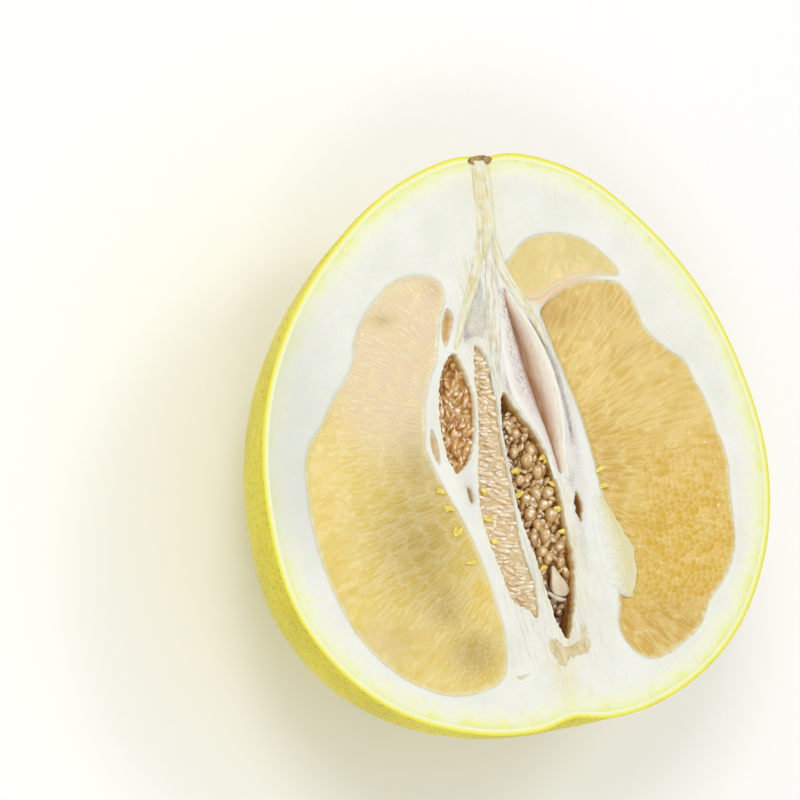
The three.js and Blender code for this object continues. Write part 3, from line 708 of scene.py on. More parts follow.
def sac_finish(name, pale, deep, floor, top, bottom):
    """Loose wet juice sacs, painted deep at each one's foot and pale on its top as light from above
    would show them, with painted glints on their tops, and of the floor's colour down in the pocket,
    from a height of top to bottom, which is the juice's amber together with painted shade."""
    f = Finish(name)
    height = f.add("ShaderNodeSeparateXYZ", {"Vector": f.place()}).outputs["Z"]
    # Painted light and shade: each sac's top is painted pale and its foot deep
    light = f.mix(f.range(f.marked("up"), 0.35, 0.95), deep, pale)
    light = f.mix(f.range(f.marked("own"), 0.0, 1.0, 0.0, 0.45), light, deep)
    # Darker deeper down in the pocket: the juice's amber together with painted shade
    colour = f.mix(f.range(height, bottom, top), floor, light)
    colour = f.mix(f.range(f.noise(0.5, 3.0), 0.4, 0.75, 0.0, 0.35), colour, deep)
    # Painted highlights: pale specks on the sacs' tops
    painted_glint_specks = f.range(f.noise(0.9, 4.0, 0.65, (1, 1, 1), 1.2), 0.58, 0.72, 0.0, 0.5)
    colour = f.mix(f.maths("MULTIPLY", painted_glint_specks, f.marked("up")), colour, rgb(250, 242, 226))
    # Painted highlights: a bright line along each sac's top
    ridge = f.maths("MULTIPLY", f.range(f.marked("up"), 0.88, 0.99), f.range(f.noise(0.8, 2.0), 0.42, 0.6))
    colour = f.mix(f.maths("MULTIPLY", ridge, 0.8), colour, rgb(255, 250, 240))
    f.bump(f.noise(0.7, 3.0), 0.35, 0.4)
    f.moist(colour, 0.25, 0.3, 0.6, 0.8)
    f.shader.inputs["Subsurface Radius"].default_value = (1.0, 0.9, 0.8)
    f.shader.inputs["Coat Roughness"].default_value = 0.08
    return f.material


def membrane_finish(name, pale, stain_and_shade, speck):
    """A papery membrane, darker towards the crease in a brown stain with painted shade, white at its lip and
    finely speckled.
    """
    f = Finish(name)
    threads = f.noise(0.8, 4.0, 0.6, (1, 0.22, 1), turn=8)
    # Towards the crease: a brown stain together with painted shade
    stained_and_shaded = f.maths("MULTIPLY", f.marked("stain_and_shade"), f.range(threads, 0.2, 0.62, 0.55, 1.0))
    colour = f.mix(stained_and_shaded, pale, stain_and_shade)
    fine = f.range(f.noise(1.5, 5.0, 0.75, (1, 0.6, 1)), 0.48, 0.7)
    colour = f.mix(f.maths("MULTIPLY", fine, f.marked("speckle")), colour, speck)
    lip = f.maths("MULTIPLY", f.marked("lip"), f.range(threads, 0.3, 0.6, 0.6, 1.0))
    colour = f.mix(lip, colour, rgb(244, 240, 228))
    f.bump(threads, 0.5, 0.4)
    return f.moist(colour, 0.5, 0.3, 1.2, 0.1)


def plain_finish(name, light, dark, scale, roughness, through, stretch=(1, 1, 1), coat=0.0, relief=0.2):
    """Small dry or waxy pieces: two shades in a fine grain."""
    f = Finish(name)
    colour = f.ramp(f.noise(scale, 4.0, 0.6, stretch), (0.3, dark), (0.68, light))
    f.bump(f.noise(scale * 1.6, 4.0, 0.6, stretch), 0.35, relief)
    return f.moist(colour, roughness, through, 1.0, coat)


# The rind

def make_rind():
    piece = primitive("rind_cup", bpy.ops.mesh.primitive_uv_sphere_add, segments=48, ring_count=24, radius=1)
    apply(piece, "SUBSURF", levels=3, subdivision_type="SIMPLE")
    in_edit(piece, lambda: bpy.ops.mesh.bisect(plane_co=(0, 0, 0), plane_no=(0, 1, 0), clear_inner=True))
    p = points_of(piece)
    p /= np.linalg.norm(p, axis=1)[:, None]
    from_stem = np.degrees(np.arccos(np.clip(p[:, 2], -1, 1)))
    turn = np.degrees(np.arctan2(np.maximum(p[:, 1], 0.0), p[:, 0]))
    move_to(piece, skin_point(from_stem, turn, 0.0))
    p = points_of(piece)
    dimples = np.array([noise.fractal(q / 9.0, 1.0, 2.0, 2) for q in p])
    low = step_up(2.0, 14.0, p[:, 2]) * step_up(FACE_Z, FACE_Z - 4.0, p[:, 2])
    outward = p - (CORE_X, 0.0, FACE_Z)
    outward /= np.linalg.norm(outward, axis=1)[:, None]
    p -= outward * (0.3 * low * (dimples + 1.0))[:, None] * 0.5
    p[:, 2] = np.maximum(p[:, 2], 0.0)
    move_to(piece, p)
    apply(piece, "SOLIDIFY", thickness=RIND * MM, offset=-1.0, use_even_offset=True, use_rim=True)
    p = points_of(piece)
    p[np.abs(p[:, 2] - FACE_Z) < 0.4, 2] = FACE_Z
    p[:, 2] = np.minimum(p[:, 2], FACE_Z)
    move_to(piece, p)
    on_rim = (rim_inset(p[:, :2]) < 0.3) & (p[:, 2] > FACE_Z - 1e-3)
    ends = np.array([tuple(edge.vertices) for edge in piece.data.edges])
    weights = piece.data.attributes.new("bevel_weight_edge", "FLOAT", "EDGE")
    weights.data.foreach_set("value", on_rim[ends].all(axis=1).astype(np.float32))
    apply(piece, "BEVEL", width=0.3 * MM, segments=2, limit_method="WEIGHT")
    p = points_of(piece)
    p[:, 2] = np.minimum(p[:, 2], FACE_Z)  # a bevelled corner may stand out
    move_to(piece, p)
    face_out(piece)
    p = points_of(piece)
    away = p - (CORE_X, 0.0, FACE_Z)
    away[:, 2] /= DEPTH_SHARE
    far = np.linalg.norm(away, axis=1)
    from_stem = np.degrees(np.arccos(np.clip(away[:, 1] / far, -1, 1)))
    turn = np.degrees(np.arctan2(-away[:, 2], away[:, 0]))
    at_face = step_up(FACE_Z - 1.2, FACE_Z - 0.3, p[:, 2])
    inset = np.clip(skin_radius(from_stem, turn) - far, 0.0, 3.0)
    mark(piece, "inset", np.where(inset > 1.5, inset, inset * at_face))
    smooth_within(piece, 45)
    return surfaced("rind_peel", "rind", piece, rind_finish())


# The pith and the pockets in it

POCKETS = (
    # outline, how deep the pith's wall goes, width of the wall's slope, lip's height, tear
    (POCKET_LEFT, 8.0, 0.8, 0.3, 0.4),
    (POCKET_MIDDLE, 6.5, 0.7, 0.25, 0.35),
    (POCKET_RIGHT, 11.0, 0.9, 0.35, 0.4),
    (SLIVER_UPPER, 4.0, 0.6, 0.0, 0.1),
    (SLIVER_LOWER, 4.5, 0.5, 0.0, 0.1),
    (CORE_HOLLOW, 8.5, 1.2, 0.0, 0.0),
    (LEFT_HOLLOW, 2.8, 2.8, 0.0, 0.3),
    (RIGHT_SLIT, 1.9, 0.8, 0.15, 0.08),
    (RIGHT_HOLE, 4.0, 1.2, 0.05, 0.35),
    (LEFT_CLEFT, 2.2, 0.5, 0.05, 0.12),
    (FOOT_CLEFT, 0.8, 0.4, 0.0, 0.1),
)
CORE_BOX = ((-31.0, -72.0), (26.0, 60.0))  # where the pith's points are close together
PULP_LIP = 0.3  # how far the pith rounds down to the pulp
# How far inside a pocket's edge the pith has rings of points
RINGS = (-2.0, -1.5, -1.1, -0.75, -0.45, -0.2, 0.0, 0.2, 0.4, 0.6, 0.8, 1.05, 1.3, 1.6, 2.1)


def core_grain(xy, edge):
    """Fibres that run along the walls near the core, about -1 to 1. edge is the distance from
    the nearest pulp or pocket."""
    across = np.where(edge < 7.5, edge, xy[:, 0] + 0.11 * xy[:, 1])
    threads = rough(np.column_stack([across / 0.75, xy[:, 1] / 7.0]), 1.0, 3, 2)
    return threads * np.exp(-((xy[:, 0] - 2.0) / 17.0) ** 4) * step_up(-74, -56, xy[:, 1])


def pith_height(xy, pockets, pulps):
    from_pulp = [-depth_in(loop, xy, 6.0) for loop in pulps]
    from_pocket = [-depth_in(loop, xy, 6.0) for loop, *_ in pockets]
    edge = np.minimum.reduce(from_pulp + from_pocket)
    z = 0.14 * rough(xy, 13.0, 1) + 0.06 * rough(xy, 2.4, 2) + 0.22 * core_grain(xy, edge)
    z *= step_up(0.0, 4.0, rim_inset(xy) - RIND)
    for away in from_pulp:
        z -= PULP_LIP * np.exp(-((away / 0.6) ** 2))
        z += 0.1 * np.exp(-(((away - 1.4) / 0.7) ** 2))
    for away, (loop, deep, wall, lip) in zip(from_pocket, pockets):
        z += lip * np.exp(-(((away - 0.55) / 0.5) ** 2))
        z -= deep * step_up(-0.2, wall, -away)
    return z


def make_pith():
    pulps = [grown(smooth_loop(o, 0.7), 0.0) for o in (PULP_LEFT, PULP_RIGHT, PULP_UPPER)]
    pockets = [
        (torn(smooth_loop(outline, 0.4), tear, k), deep, wall, lip)
        for k, (outline, deep, wall, lip, tear) in enumerate(POCKETS)
    ]
    rows, columns = 170, 14
    from_stem = np.linspace(0, 180, rows + 1)
    outer = RIND - 0.15
    right = skin_point(from_stem, 0.0, outer)[:, :2]
    left = skin_point(from_stem, 180.0, outer)[::-1][1:-1, :2]
    rim = np.vstack([right, left])[::-1]

    coarse = dots((-84, -88), (84, 88), 1.25, 11)
    in_core = np.all((coarse > CORE_BOX[0]) & (coarse < CORE_BOX[1]), axis=1)
    fine = dots(*CORE_BOX, 0.5, 12)
    spread = np.vstack([coarse[~in_core], fine])
    for loop, *_ in pockets:
        inside = depth_in(loop, spread, 3.0)
        spread = spread[(inside < RINGS[0] - 0.2) | (inside > RINGS[-1] + 0.2)]
    inner = [spread]
    for loop, *_ in pockets:
        for ring in RINGS:
            moved = grown(loop, -ring)
            really = np.abs(depth_in(loop, moved, 4.0) - ring) < 0.12
            inner.append(moved[really])
    for loop in pulps:
        inner += [grown(loop, away) for away in (0.3, 0.6, 0.95, 1.4, 2.0)]
    inner = np.vstack(inner)
    free = rim_inset(inner) > RIND + 0.4
    for loop in pulps:
        free &= depth_in(loop, inner, 1.0) < -0.22
    points, faces, places = fill_face([rim, *pulps], inner[free])
    height = FACE_Z + pith_height(points, pockets, pulps)
    height[places[0]] = FACE_Z - 0.02
    parts = [np.column_stack([points, height])]
    faces = faces.tolist()
    count = len(points)

    # Walls and floors of the pulp's beds
    for loop, place in zip(pulps, places[1:]):
        floor, cover, (ring,) = fill_face([loop], dots_in(loop, 5.0, 13, 2.0))
        deep = np.minimum(bowl_height(floor), FACE_Z - 3.0)
        edge = np.column_stack([floor[ring], np.full(len(ring), FACE_Z - PULP_LIP - 1.6)])
        parts += [np.column_stack([floor, deep]), edge]
        bottom = count + ring
        middle = count + len(floor) + np.arange(len(ring))
        faces += strip(middle, place) + strip(bottom, middle)
        faces += (count + cover).tolist()
        count += len(floor) + len(ring)

    # The rounded back, inside the rind
    turns = np.linspace(0, 180, columns + 1)
    dome = np.array([skin_point(from_stem, turn, outer) for turn in turns[1:-1]])
    dome[..., 2] = np.maximum(dome[..., 2], RIND)
    parts.append(dome.reshape(-1, 3))
    first = np.full((columns + 1, rows + 1), -1)
    first[1:-1] = count + np.arange((columns - 1) * (rows + 1)).reshape(columns - 1, rows + 1)
    along = places[0][::-1]
    first[0] = along[:rows + 1]
    first[-1] = np.concatenate([along[:1], along[:rows - 1:-1]])
    for a, b in zip(first[:-1], first[1:]):
        faces += np.stack([a[:-1], a[1:], b[1:], b[:-1]], 1).tolist()
    piece = add_mesh("pith_body", np.vstack(parts), faces)
    in_edit(piece, lambda: bpy.ops.mesh.remove_doubles(threshold=2e-5),
            lambda: bpy.ops.mesh.dissolve_degenerate(threshold=1e-6),
            lambda: bpy.ops.mesh.normals_make_consistent(inside=False))
    smooth_within(piece, 75)
    mark_pith_stains_and_shade(piece, [loop for loop, *_ in pockets])
    return surfaced("pith_body", "pith", piece, pith_finish())


def mark_pith_stains_and_shade(piece, loops):
    """Where the pith is lemon, fibrous, lilac and brown, the brown partly a stain and partly painted shade
    down in the pockets, and where painted shade darkens its left side.
    """
    p = points_of(piece)
    xy, down = p[:, :2], FACE_Z - p[:, 2]
    x, y = xy.T
    inside = [depth_in(loop, xy, 6.0) for loop in loops]
    left, middle, right, sliver_up, sliver_low, core, hollow, slit, hole, cleft, foot = inside
    mark(piece, "inset", np.clip(rim_inset(xy), 0.0, 40.0))
    mark(piece, "round", np.arctan2(x - CORE_X, y) * 80.0)
    # Painted shade on the pith's left side, between its top and its lower part
    mark(piece, "painted_shade_left", 0.6 * step_up(-38, -74, x) * step_up(62, 34, y) * step_up(-40, -8, y))
    mark(piece, "near_core", np.exp(-((x - 3.0) / 16.0) ** 4) * step_up(-72, -56, y) * step_up(62, 50, y))

    def halo(depth, reach):
        """1 inside a hollow, and falling to 0 some millimetres outside its edge."""
        return step_up(-reach, 0.3, depth)

    lilac = 0.3 * halo(hollow, 0.5) * step_up(0.1, 1.2, down) + 0.25 * halo(slit, 0.9)
    lilac += 0.3 * halo(slit, 2.2) + 0.5 * halo(cleft, 1.8) + 0.35 * halo(hole, 1.6)
    mark(piece, "lilac", np.clip(lilac + blots(xy, PITH_LILACS), 0, 0.9))
    # The brown grows with depth: partly a juice stain, partly painted shade down in the pockets and the core
    # hollow
    browns = (
        # strength, how far down it starts and is full, the hollow, how far outside it
        (1.0, 0.0, 1.6, right, 0.3), (0.6, 0.0, 1.6, left, 0.3), (0.4, 0.0, 1.6, middle, 0.3),
        (0.9, 0.2, 1.6, hole, 0.4), (0.6, 0.4, 1.6, cleft, 0.2), (0.22, 0.1, 0.5, foot, 0.3),
        (0.8, 2.0, 5.0, core, 0.1), (0.4, 0.3, 2.0, sliver_up, 0.2), (0.4, 0.3, 2.0, sliver_low, 0.2),
    )
    brown = sum(
        strength * step_up(start, full, down) * halo(depth, reach)
        for strength, start, full, depth, reach in browns)
    mark(piece, "brown", np.clip(brown, 0, 1))
    course = np.interp(x, (8, 14, 20, 28, 36), (42.5, 40.6, 43.2, 45.8, 46.2))
    mark(piece, "pink", 0.95 * np.exp(-(((y - course) / 1.9) ** 2)) * step_up(6, 12, x) * step_up(38, 27, x))
    walls = np.maximum.reduce([halo(left, 1.6), halo(middle, 1.8), halo(right, 3.2)])
    stem = np.exp(-((x - 1.6) / 4.6) ** 2) * step_up(46, 60, y)
    mark(piece, "fibre", np.clip(0.4 * walls + 0.6 * stem + blots(xy, PITH_FIBRES), 0, 0.85))


# The cut pulp

def make_flesh(name, node, outline, marks, relief, sunk, material, spacing, deep=None):
    """One segment's pulp. marks(xy) gives its sacs and its patches of colour, sunk is how far it
    lies below the face, and deep how far down it goes, where that isn't to the pith below."""
    loop = grown(smooth_loop(outline, 0.5), 0.15)
    top, faces, (ring,) = fill_face([loop], dots_in(loop, spacing, 21, 0.3))
    patches = marks(top)
    inside = depth_in(loop, top, 9.0)
    swell = step_up(0.0, 1.6, inside)
    z = relief * swell * (patches["fill"] - 0.5) + 0.04 * swell * patches["streak"]
    z += 0.14 * swell * rough(top, 5.0, 5) + 0.3 * swell * rough(top, 24.0, 6, 2)
    z -= sunk * (0.55 + 0.45 * swell) + patches.pop("dip", 0.0) * swell
    patches["streak"] = 0.5 + 0.5 * patches["streak"]
    floor, cover, (low_ring,) = fill_face([loop], dots_in(loop, 6.0, 22, 2.0))
    bed = np.full(len(floor), FACE_Z - deep) if deep else np.minimum(bowl_height(floor) + 0.2, FACE_Z - 2.6)
    parts = [np.column_stack([top, FACE_Z + z]), np.column_stack([floor, bed])]
    faces = faces.tolist() + (len(top) + cover[:, ::-1]).tolist()
    faces += strip(ring, len(top) + low_ring)
    piece = add_mesh(name, np.vstack(parts), faces)
    for key, value in {**patches, "edge": inside}.items():
        mark(piece, key, np.concatenate([np.broadcast_to(value, len(top)), np.zeros(len(floor))]))
    face_out(piece)
    smooth_within(piece, 60)
    return surfaced(name, node, piece, material)


def glints(xy, root, length, width, seed, share):
    """Painted highlights: small bright dashes along the rays, at a share of the lattice's places."""
    along, across = rays(xy, root)
    gap, own = cells(along / length, across / width, seed)
    return step_up(0.55, 0.85, gap) * (own < share)


def left_marks(xy):
    x, y = xy.T
    root = (14.0, -7.0)
    fill, own = juice_sacs(xy, root, 6.4, 1.25, 31)
    gap, _ = cells(x / 1.9, y / 1.7, 33)
    inner = step_up(-64, -40, x + 0.12 * y) * (0.25 + 0.75 * step_up(-56, -40, y))
    inner *= 1 - 0.4 * step_up(36, 48, y)
    round_ones = np.clip(blots(xy, LEFT_ROUND_SACS), 0, 1)
    fill = fill * (1 - round_ones) + step_up(0.0, 0.45, gap) * round_ones
    blush = step_up(-16, 8, y + 0.35 * (x + 40)) * (1 - 0.8 * blot(xy, -66, 2, 14, 16))
    blush *= 0.55 + 0.45 * step_up(-62, -44, x)
    contrast = np.clip(inner + 0.8 * round_ones, 0, 1)
    rays_shown = (0.15 + 0.85 * inner) * (1 - 0.85 * step_up(-34, -50, y))
    streak = ray_streaks(xy, root, 6.0, 0.8, 35) * rays_shown
    # Painted highlights along the rays
    dashes = glints(xy, root, 3.2, 0.85, 36, 0.05) * (0.4 + 0.6 * step_up(-30, -55, x))
    dashes += glints(xy, root, 3.6, 0.8, 37, 0.3) * blots(xy, LEFT_GLINTS)
    cloudy = rough(xy, 9.0, 38, 4) * step_up(-26, -44, y)
    contrast *= 1 - 0.6 * step_up(-38, -52, y) * (1 - round_ones)
    fill = 0.55 * (1 - contrast) + contrast * fill + 0.35 * cloudy
    return {"fill": fill, "own": own, "blush": blush, "shade": np.clip(blots(xy, LEFT_SHADES), 0, 1),
            "streak": streak, "glint": np.clip(dashes, 0, 1), "dip": 0.6 * blot(xy, -20, 12, 8, 26)}


def right_marks(xy):
    x, y = xy.T
    root = (-8.0, -9.0)
    fill, own = juice_sacs(xy, root, 7.0, 1.3, 41)
    gap, own_round = cells(x / 2.0, y / 1.8, 42)
    comb = step_up(-4, 5, x - 36 - 0.35 * (y + 20)) * step_up(6, -12, y) * step_up(-60, -48, y)
    smooth = np.clip(blots(xy, RIGHT_SMOOTH), 0, 1)
    body = fill * (1 - comb) + (0.2 + 0.8 * step_up(-0.05, 0.45, gap)) * comb
    body = (body * (1 - 0.8 * smooth) + 0.3 * smooth) * (1 - 0.6 * blot(xy, 31, 27, 9, 8))
    upper = 0.55 * step_up(-8, 14, y)
    body = body * (1 - upper) + 0.24 * upper
    streak = ray_streaks(xy, root, 8.0, 0.8, 43) * (1 - 0.5 * comb)
    dashes = glints(xy, root, 3.2, 0.9, 44, 0.07) * (0.4 + 0.6 * comb)
    # Painted highlights in branching streaks near the foot of the right pulp
    branches = ray_streaks(xy, (52.0, -20.0), 6.0, 1.6, 45)
    dashes += 0.45 * step_up(0.15, 0.5, branches) * blot(xy, 44, -54, 16, 9)
    return {"fill": body, "own": np.where(comb > 0.5, own_round, own),
            "blush": np.clip(blots(xy, RIGHT_BLUSHES), 0, 1),
            "shade": np.clip(blots(xy, RIGHT_SHADES), 0, 1), "streak": streak,
            "glint": np.clip(dashes, 0, 1), "dip": blots(xy, RIGHT_DIPS)}


def upper_marks(xy):
    x, y = xy.T
    root = (-12.0, 20.0)
    fill, _ = juice_sacs(xy, root, 10.0, 2.2, 51)
    band = np.interp(x, (14, 20, 28, 36), (41.4, 44.1, 46.6, 46.8))
    blush = step_up(4.0, 0.5, y - band) * step_up(6, 14, x) * step_up(40, 30, x)
    return {"fill": 0.35 + 0.05 * fill, "own": 0.5, "blush": 0.95 * blush,
            "shade": 0.4 * blot(xy, 28, 54, 9, 4), "streak": 0.08 * ray_streaks(xy, root, 7.0, 1.4, 52),
            "glint": glints(xy, root, 3.0, 1.2, 53, 0.03), "dip": 0.5 * blot(xy, 16, 50, 9, 5)}


def sliver_marks(xy):
    gap, own = cells(xy[:, 0] / 1.6, xy[:, 1] / 3.0, 61)
    none = np.zeros(len(xy))
    return {"fill": 0.4 + 0.6 * step_up(0.05, 0.4, gap), "own": own, "blush": none, "shade": none,
            "streak": none, "glint": none}


def make_pulps():
    pale = flesh_finish(
        "pale_pulp", rgb(234, 218, 162), rgb(226, 199, 86), rgb(231, 211, 180), rgb(178, 151, 76))
    gold = flesh_finish(
        "golden_pulp", rgb(238, 216, 146), rgb(212, 176, 74), rgb(214, 172, 32), rgb(188, 146, 62))
    lens = flesh_finish(
        "smooth_pulp", rgb(234, 218, 158), rgb(220, 198, 118), rgb(238, 198, 156), rgb(206, 182, 100))
    amber = flesh_finish(
        "amber_pulp", rgb(222, 184, 110), rgb(192, 142, 66), rgb(192, 142, 66), rgb(166, 116, 44))
    make_flesh("flesh_left", "pulp_left", PULP_LEFT, left_marks, 0.3, 0.35, pale, 0.38)
    make_flesh("flesh_right", "pulp_right", PULP_RIGHT, right_marks, 0.3, 0.4, gold, 0.38)
    make_flesh("flesh_upper", "pulp_upper_right", PULP_UPPER, upper_marks, 0.05, 0.35, lens,
               0.4, 30.0)
    for end, outline, sunk in (("upper", SLIVER_UPPER, 0.8), ("lower", SLIVER_LOWER, 1.2)):
        make_flesh(f"flesh_sliver_{end}", f"pulp_sliver_{end}", outline, sliver_marks, 0.2,
                   sunk, amber, 0.35, 7.8)


# Juice sacs in the open pockets

def one_sac(name, taper, lumps, seed):
    """A juice sac: a plump body that narrows to a stalk at -X, 2 mm long to start with."""
    piece = primitive(name, bpy.ops.mesh.primitive_uv_sphere_add, segments=16, ring_count=12, radius=MM,
                      rotation=(0, math.pi / 2, 0))
    p = points_of(piece)
    slim = 1 - taper * step_up(0.5, -1.0, p[:, 0])
    p[:, 1] *= slim
    p[:, 2] *= slim
    bumps = np.array([noise.fractal(Vector(q) * 1.3 + Vector((seed, 0, 0)), 1.0, 2.0, 2) for q in p])
    move_to(piece, p * (1 + lumps * bumps)[:, None])
    return piece


def copied(pattern, name, matrix, own):
    """A copy of a pattern, each point marked with its height within the copy, 0 to 1, and with
    the copy's own draw."""
    piece = pattern.copy()
    piece.data = pattern.data.copy()
    piece.name = name
    bpy.context.scene.collection.objects.link(piece)
    piece.data.transform(matrix)
    piece.data.shade_smooth()
    height = points_of(piece)[:, 2]
    mark(piece, "up", (height - height.min()) / np.ptp(height))
    mark(piece, "own", own)
    return piece


def set_at(place, half_sizes, turn, tip, roll=0.0):
    """The matrix that puts a sac of these half sizes at a place, all in millimetres."""
    size = Matrix.Diagonal((*half_sizes, 1.0))
    turned = Matrix.Rotation(math.radians(turn), 4, "Z") @ Matrix.Rotation(math.radians(tip), 4, "Y")
    return Matrix.Translation(Vector(place) * MM) @ turned @ Matrix.Rotation(roll, 4, "X") @ size


def pocket_floor(name, outline, bed, lumps, seed):
    """The flesh at the foot of a pocket, lumpy. bed(x, y) is how far below the cut face it is."""
    loop = grown(smooth_loop(outline, 0.5), -0.15)
    top, faces, (ring,) = fill_face([loop], dots_in(loop, 0.6, seed, 0.35))
    down = np.array([bed(x, y) for x, y in top])
    z = FACE_Z - down + lumps * rough(top, 2.6, seed)
    faces = faces.tolist()
    low = np.column_stack([top[ring], np.full(len(ring), FACE_Z - down.max() - 1.6)])
    parts = np.vstack([np.column_stack([top, z]), low])
    under = len(top) + np.arange(len(ring))
    faces += strip(ring, under) + [under[::-1].tolist()]
    piece = add_mesh(name, parts, faces)
    face_out(piece)
    mark(piece, "own", 0.5)
    mark(piece, "up", 0.25)
    return piece


def width_at(loop, y):
    """The loop's left and right edge at a height on the face."""
    a, b = loop, np.roll(loop, -1, 0)
    crossing = (a[:, 1] > y) != (b[:, 1] > y)
    if not crossing.any():
        return loop[:, 0].mean(), loop[:, 0].mean()
    a, b = a[crossing], b[crossing]
    xs = a[:, 0] + (b[:, 0] - a[:, 0]) * (y - a[:, 1]) / (b[:, 1] - a[:, 1])
    return xs.min(), xs.max()


def slope_bed(outline, at_left, at_right, ends):
    """A bed that rises from a pocket's left wall to its right one. ends are [y, reach, extra]:
    near y it lies this much deeper."""
    loop = smooth_loop(outline, 0.5)

    def bed(x, y):
        left, right = width_at(loop, y)
        share = min(max((x - left) / max(right - left, 0.5), 0.0), 1.0)
        extra = sum(more * math.exp(-((y - middle) / reach) ** 2) for middle, reach, more in ends)
        return at_left + (at_right - at_left) * share + extra

    return bed


def heap(name, outline, bed, sizes, spacing, turns, seed, taper, lumps, skip=None):
    """Sacs one against the other on a bed. sizes are the least and most half length, width and
    height, turns the mean turn and its spread in degrees, and skip(x, y) leaves a place free."""
    loop = smooth_loop(outline, 0.5)
    patterns = [one_sac(name, taper * (0.5 + 0.4 * k), lumps, 3.0 * seed + k) for k in range(4)]
    draw = np.random.default_rng(seed)
    low = loop.min(0)
    spread = low + (dots(loop.min(0), loop.max(0), 1.0, seed + 1) - low) * spacing
    spread += draw.uniform(-0.22, 0.22, spread.shape) * spacing
    sacs = []
    for x, y in spread[depth_in(loop, spread, 1.35) > 0.35]:
        if skip and skip(x, y):
            continue
        size = draw.uniform(0.8, 1.15) * np.array([draw.uniform(*pair) for pair in sizes])
        z = FACE_Z - bed(x, y) + draw.uniform(-0.6, 0.5)
        place = set_at((x, y, z), size, draw.normal(*turns), draw.uniform(-22, 22), draw.uniform(0, 6))
        sacs.append(copied(patterns[draw.integers(4)], name, place, draw.random()))
    for pattern in patterns:
        bpy.data.objects.remove(pattern)
    return sacs


def keep_low(sacs):
    """Keeps sacs below the cut face."""
    for sac in sacs:
        p = points_of(sac)
        p[:, 2] = np.minimum(p[:, 2], FACE_Z - 0.25)
        move_to(sac, p)


def make_left_pocket():
    """A glossy amber heap of sacs."""
    bed = slope_bed(POCKET_LEFT, 3.9, 2.0, [(24, 5, 1.0)])
    sizes = ((1.6, 2.6), (0.9, 1.25), (0.8, 1.1))
    sacs = heap("amber_sac", POCKET_LEFT, bed, sizes, (1.8, 1.9), (80, 40), 91, 0.2, 0.3)
    keep_low(sacs)
    floor = pocket_floor("left_floor", POCKET_LEFT, lambda x, y: bed(x, y) - 0.2, 0.8, 93)
    # Sac colours: pale top and deep foot are painted light and shade, the floor's colour is juice amber with
    # painted shade down in the pocket
    amber = sac_finish("golden_sacs", rgb(216, 172, 100), rgb(180, 120, 42), rgb(144, 84, 18),
                       FACE_Z - 2.0, FACE_Z - 4.6)
    surfaced("sacs_left", "pulp_pocket_left", joined("sacs_left", [floor] + sacs), amber)


def make_middle_pocket():
    """Pale soft sacs that lie across the pocket, one against the other."""
    bed = slope_bed(POCKET_MIDDLE, 2.8, 1.3, [(26, 5, 0.8)])
    sizes = ((2.1, 3.0), (0.75, 0.95), (0.8, 1.0))
    sacs = heap("pale_sac", POCKET_MIDDLE, bed, sizes, (2.7, 1.3), (-14, 13), 71, 0.12, 0.15)
    keep_low(sacs)
    floor = pocket_floor("middle_floor", POCKET_MIDDLE, lambda x, y: bed(x, y) - 0.5, 0.5, 72)
    # Sac colours: pale top and deep foot are painted light and shade, the floor's colour is juice amber with
    # painted shade down in the pocket
    pale = sac_finish("beige_sacs", rgb(234, 212, 174), rgb(219, 190, 140), rgb(206, 167, 110),
                      FACE_Z - 1.6, FACE_Z - 3.6)
    surfaced("sacs_middle", "pulp_pocket_middle", joined("sacs_middle", [floor] + sacs), pale)


# Round sacs that stand out in the right pocket, [x, y, radius]
RIGHT_BEADS = (
    (8.4, -22.4, 2.5), (5.6, -28.2, 2.2), (9.4, -31.6, 2.0), (3.9, -32.6, 2.1), (5.6, -34.6, 1.9),
    (3.6, -6.0, 2.3), (6.2, -9.6, 2.0), (0.2, -3.0, 1.8), (0.6, -11.2, 1.9), (8.4, -15.8, 2.2),
    (4.8, -15.4, 2.0), (2.0, -21.4, 2.1), (1.4, -17.0, 1.8), (4.0, -24.6, 1.8), (6.6, -19.2, 1.9),
    (1.4, 2.4, 1.8), (-1.2, 5.6, 1.6), (5.2, -2.8, 1.8), (2.2, -28.0, 1.6), (9.0, -36.2, 1.6),
)


def make_right_pocket():
    """Plump glossy sacs in a deep pocket, with dark gaps between them."""
    bed = slope_bed(POCKET_RIGHT, 5.4, 3.0, [(14, 7, 2.0), (-58, 9, 3.5)])
    sizes = ((1.4, 2.1), (0.9, 1.25), (0.85, 1.2))
    seed_loop = smooth_loop(FLAT_SEED, 0.5)

    def left_free(x, y):
        return y < -51 or depth_in(seed_loop, np.array([[x, y]]), 2.0)[0] > -1.2

    sacs = heap("clear_sac", POCKET_RIGHT, lambda x, y: bed(x, y) + 0.5, sizes, (2.0, 2.0), (60, 50), 81,
                0.2, 0.25, left_free)
    bead = one_sac("clear_bead", 0.15, 0.12, 84)
    draw = np.random.default_rng(85)
    for x, y, radius in RIGHT_BEADS:
        size = (radius * draw.uniform(1.0, 1.2), radius * draw.uniform(0.8, 0.95), radius * 0.85)
        place = set_at((x, y, FACE_Z - bed(x, y)), size, draw.uniform(30, 100), draw.uniform(-25, 25))
        sacs.append(copied(bead, "clear_bead_part", place, draw.uniform(0, 0.5)))
    bpy.data.objects.remove(bead)
    keep_low(sacs)
    floor = pocket_floor("right_floor", POCKET_RIGHT, lambda x, y: bed(x, y) + 0.9, 0.9, 83)
    # Sac colours: pale top and deep foot are painted light and shade, the floor's colour is juice amber with
    # painted shade down in the pocket
    wet = sac_finish("clear_sacs", rgb(218, 184, 120), rgb(158, 104, 32), rgb(98, 52, 4),
                     FACE_Z - 3.4, FACE_Z - 6.4)
    surfaced("sacs_right", "pulp_pocket_right", joined("sacs_right", [floor] + sacs), wet)


# Membranes, fibres and seeds

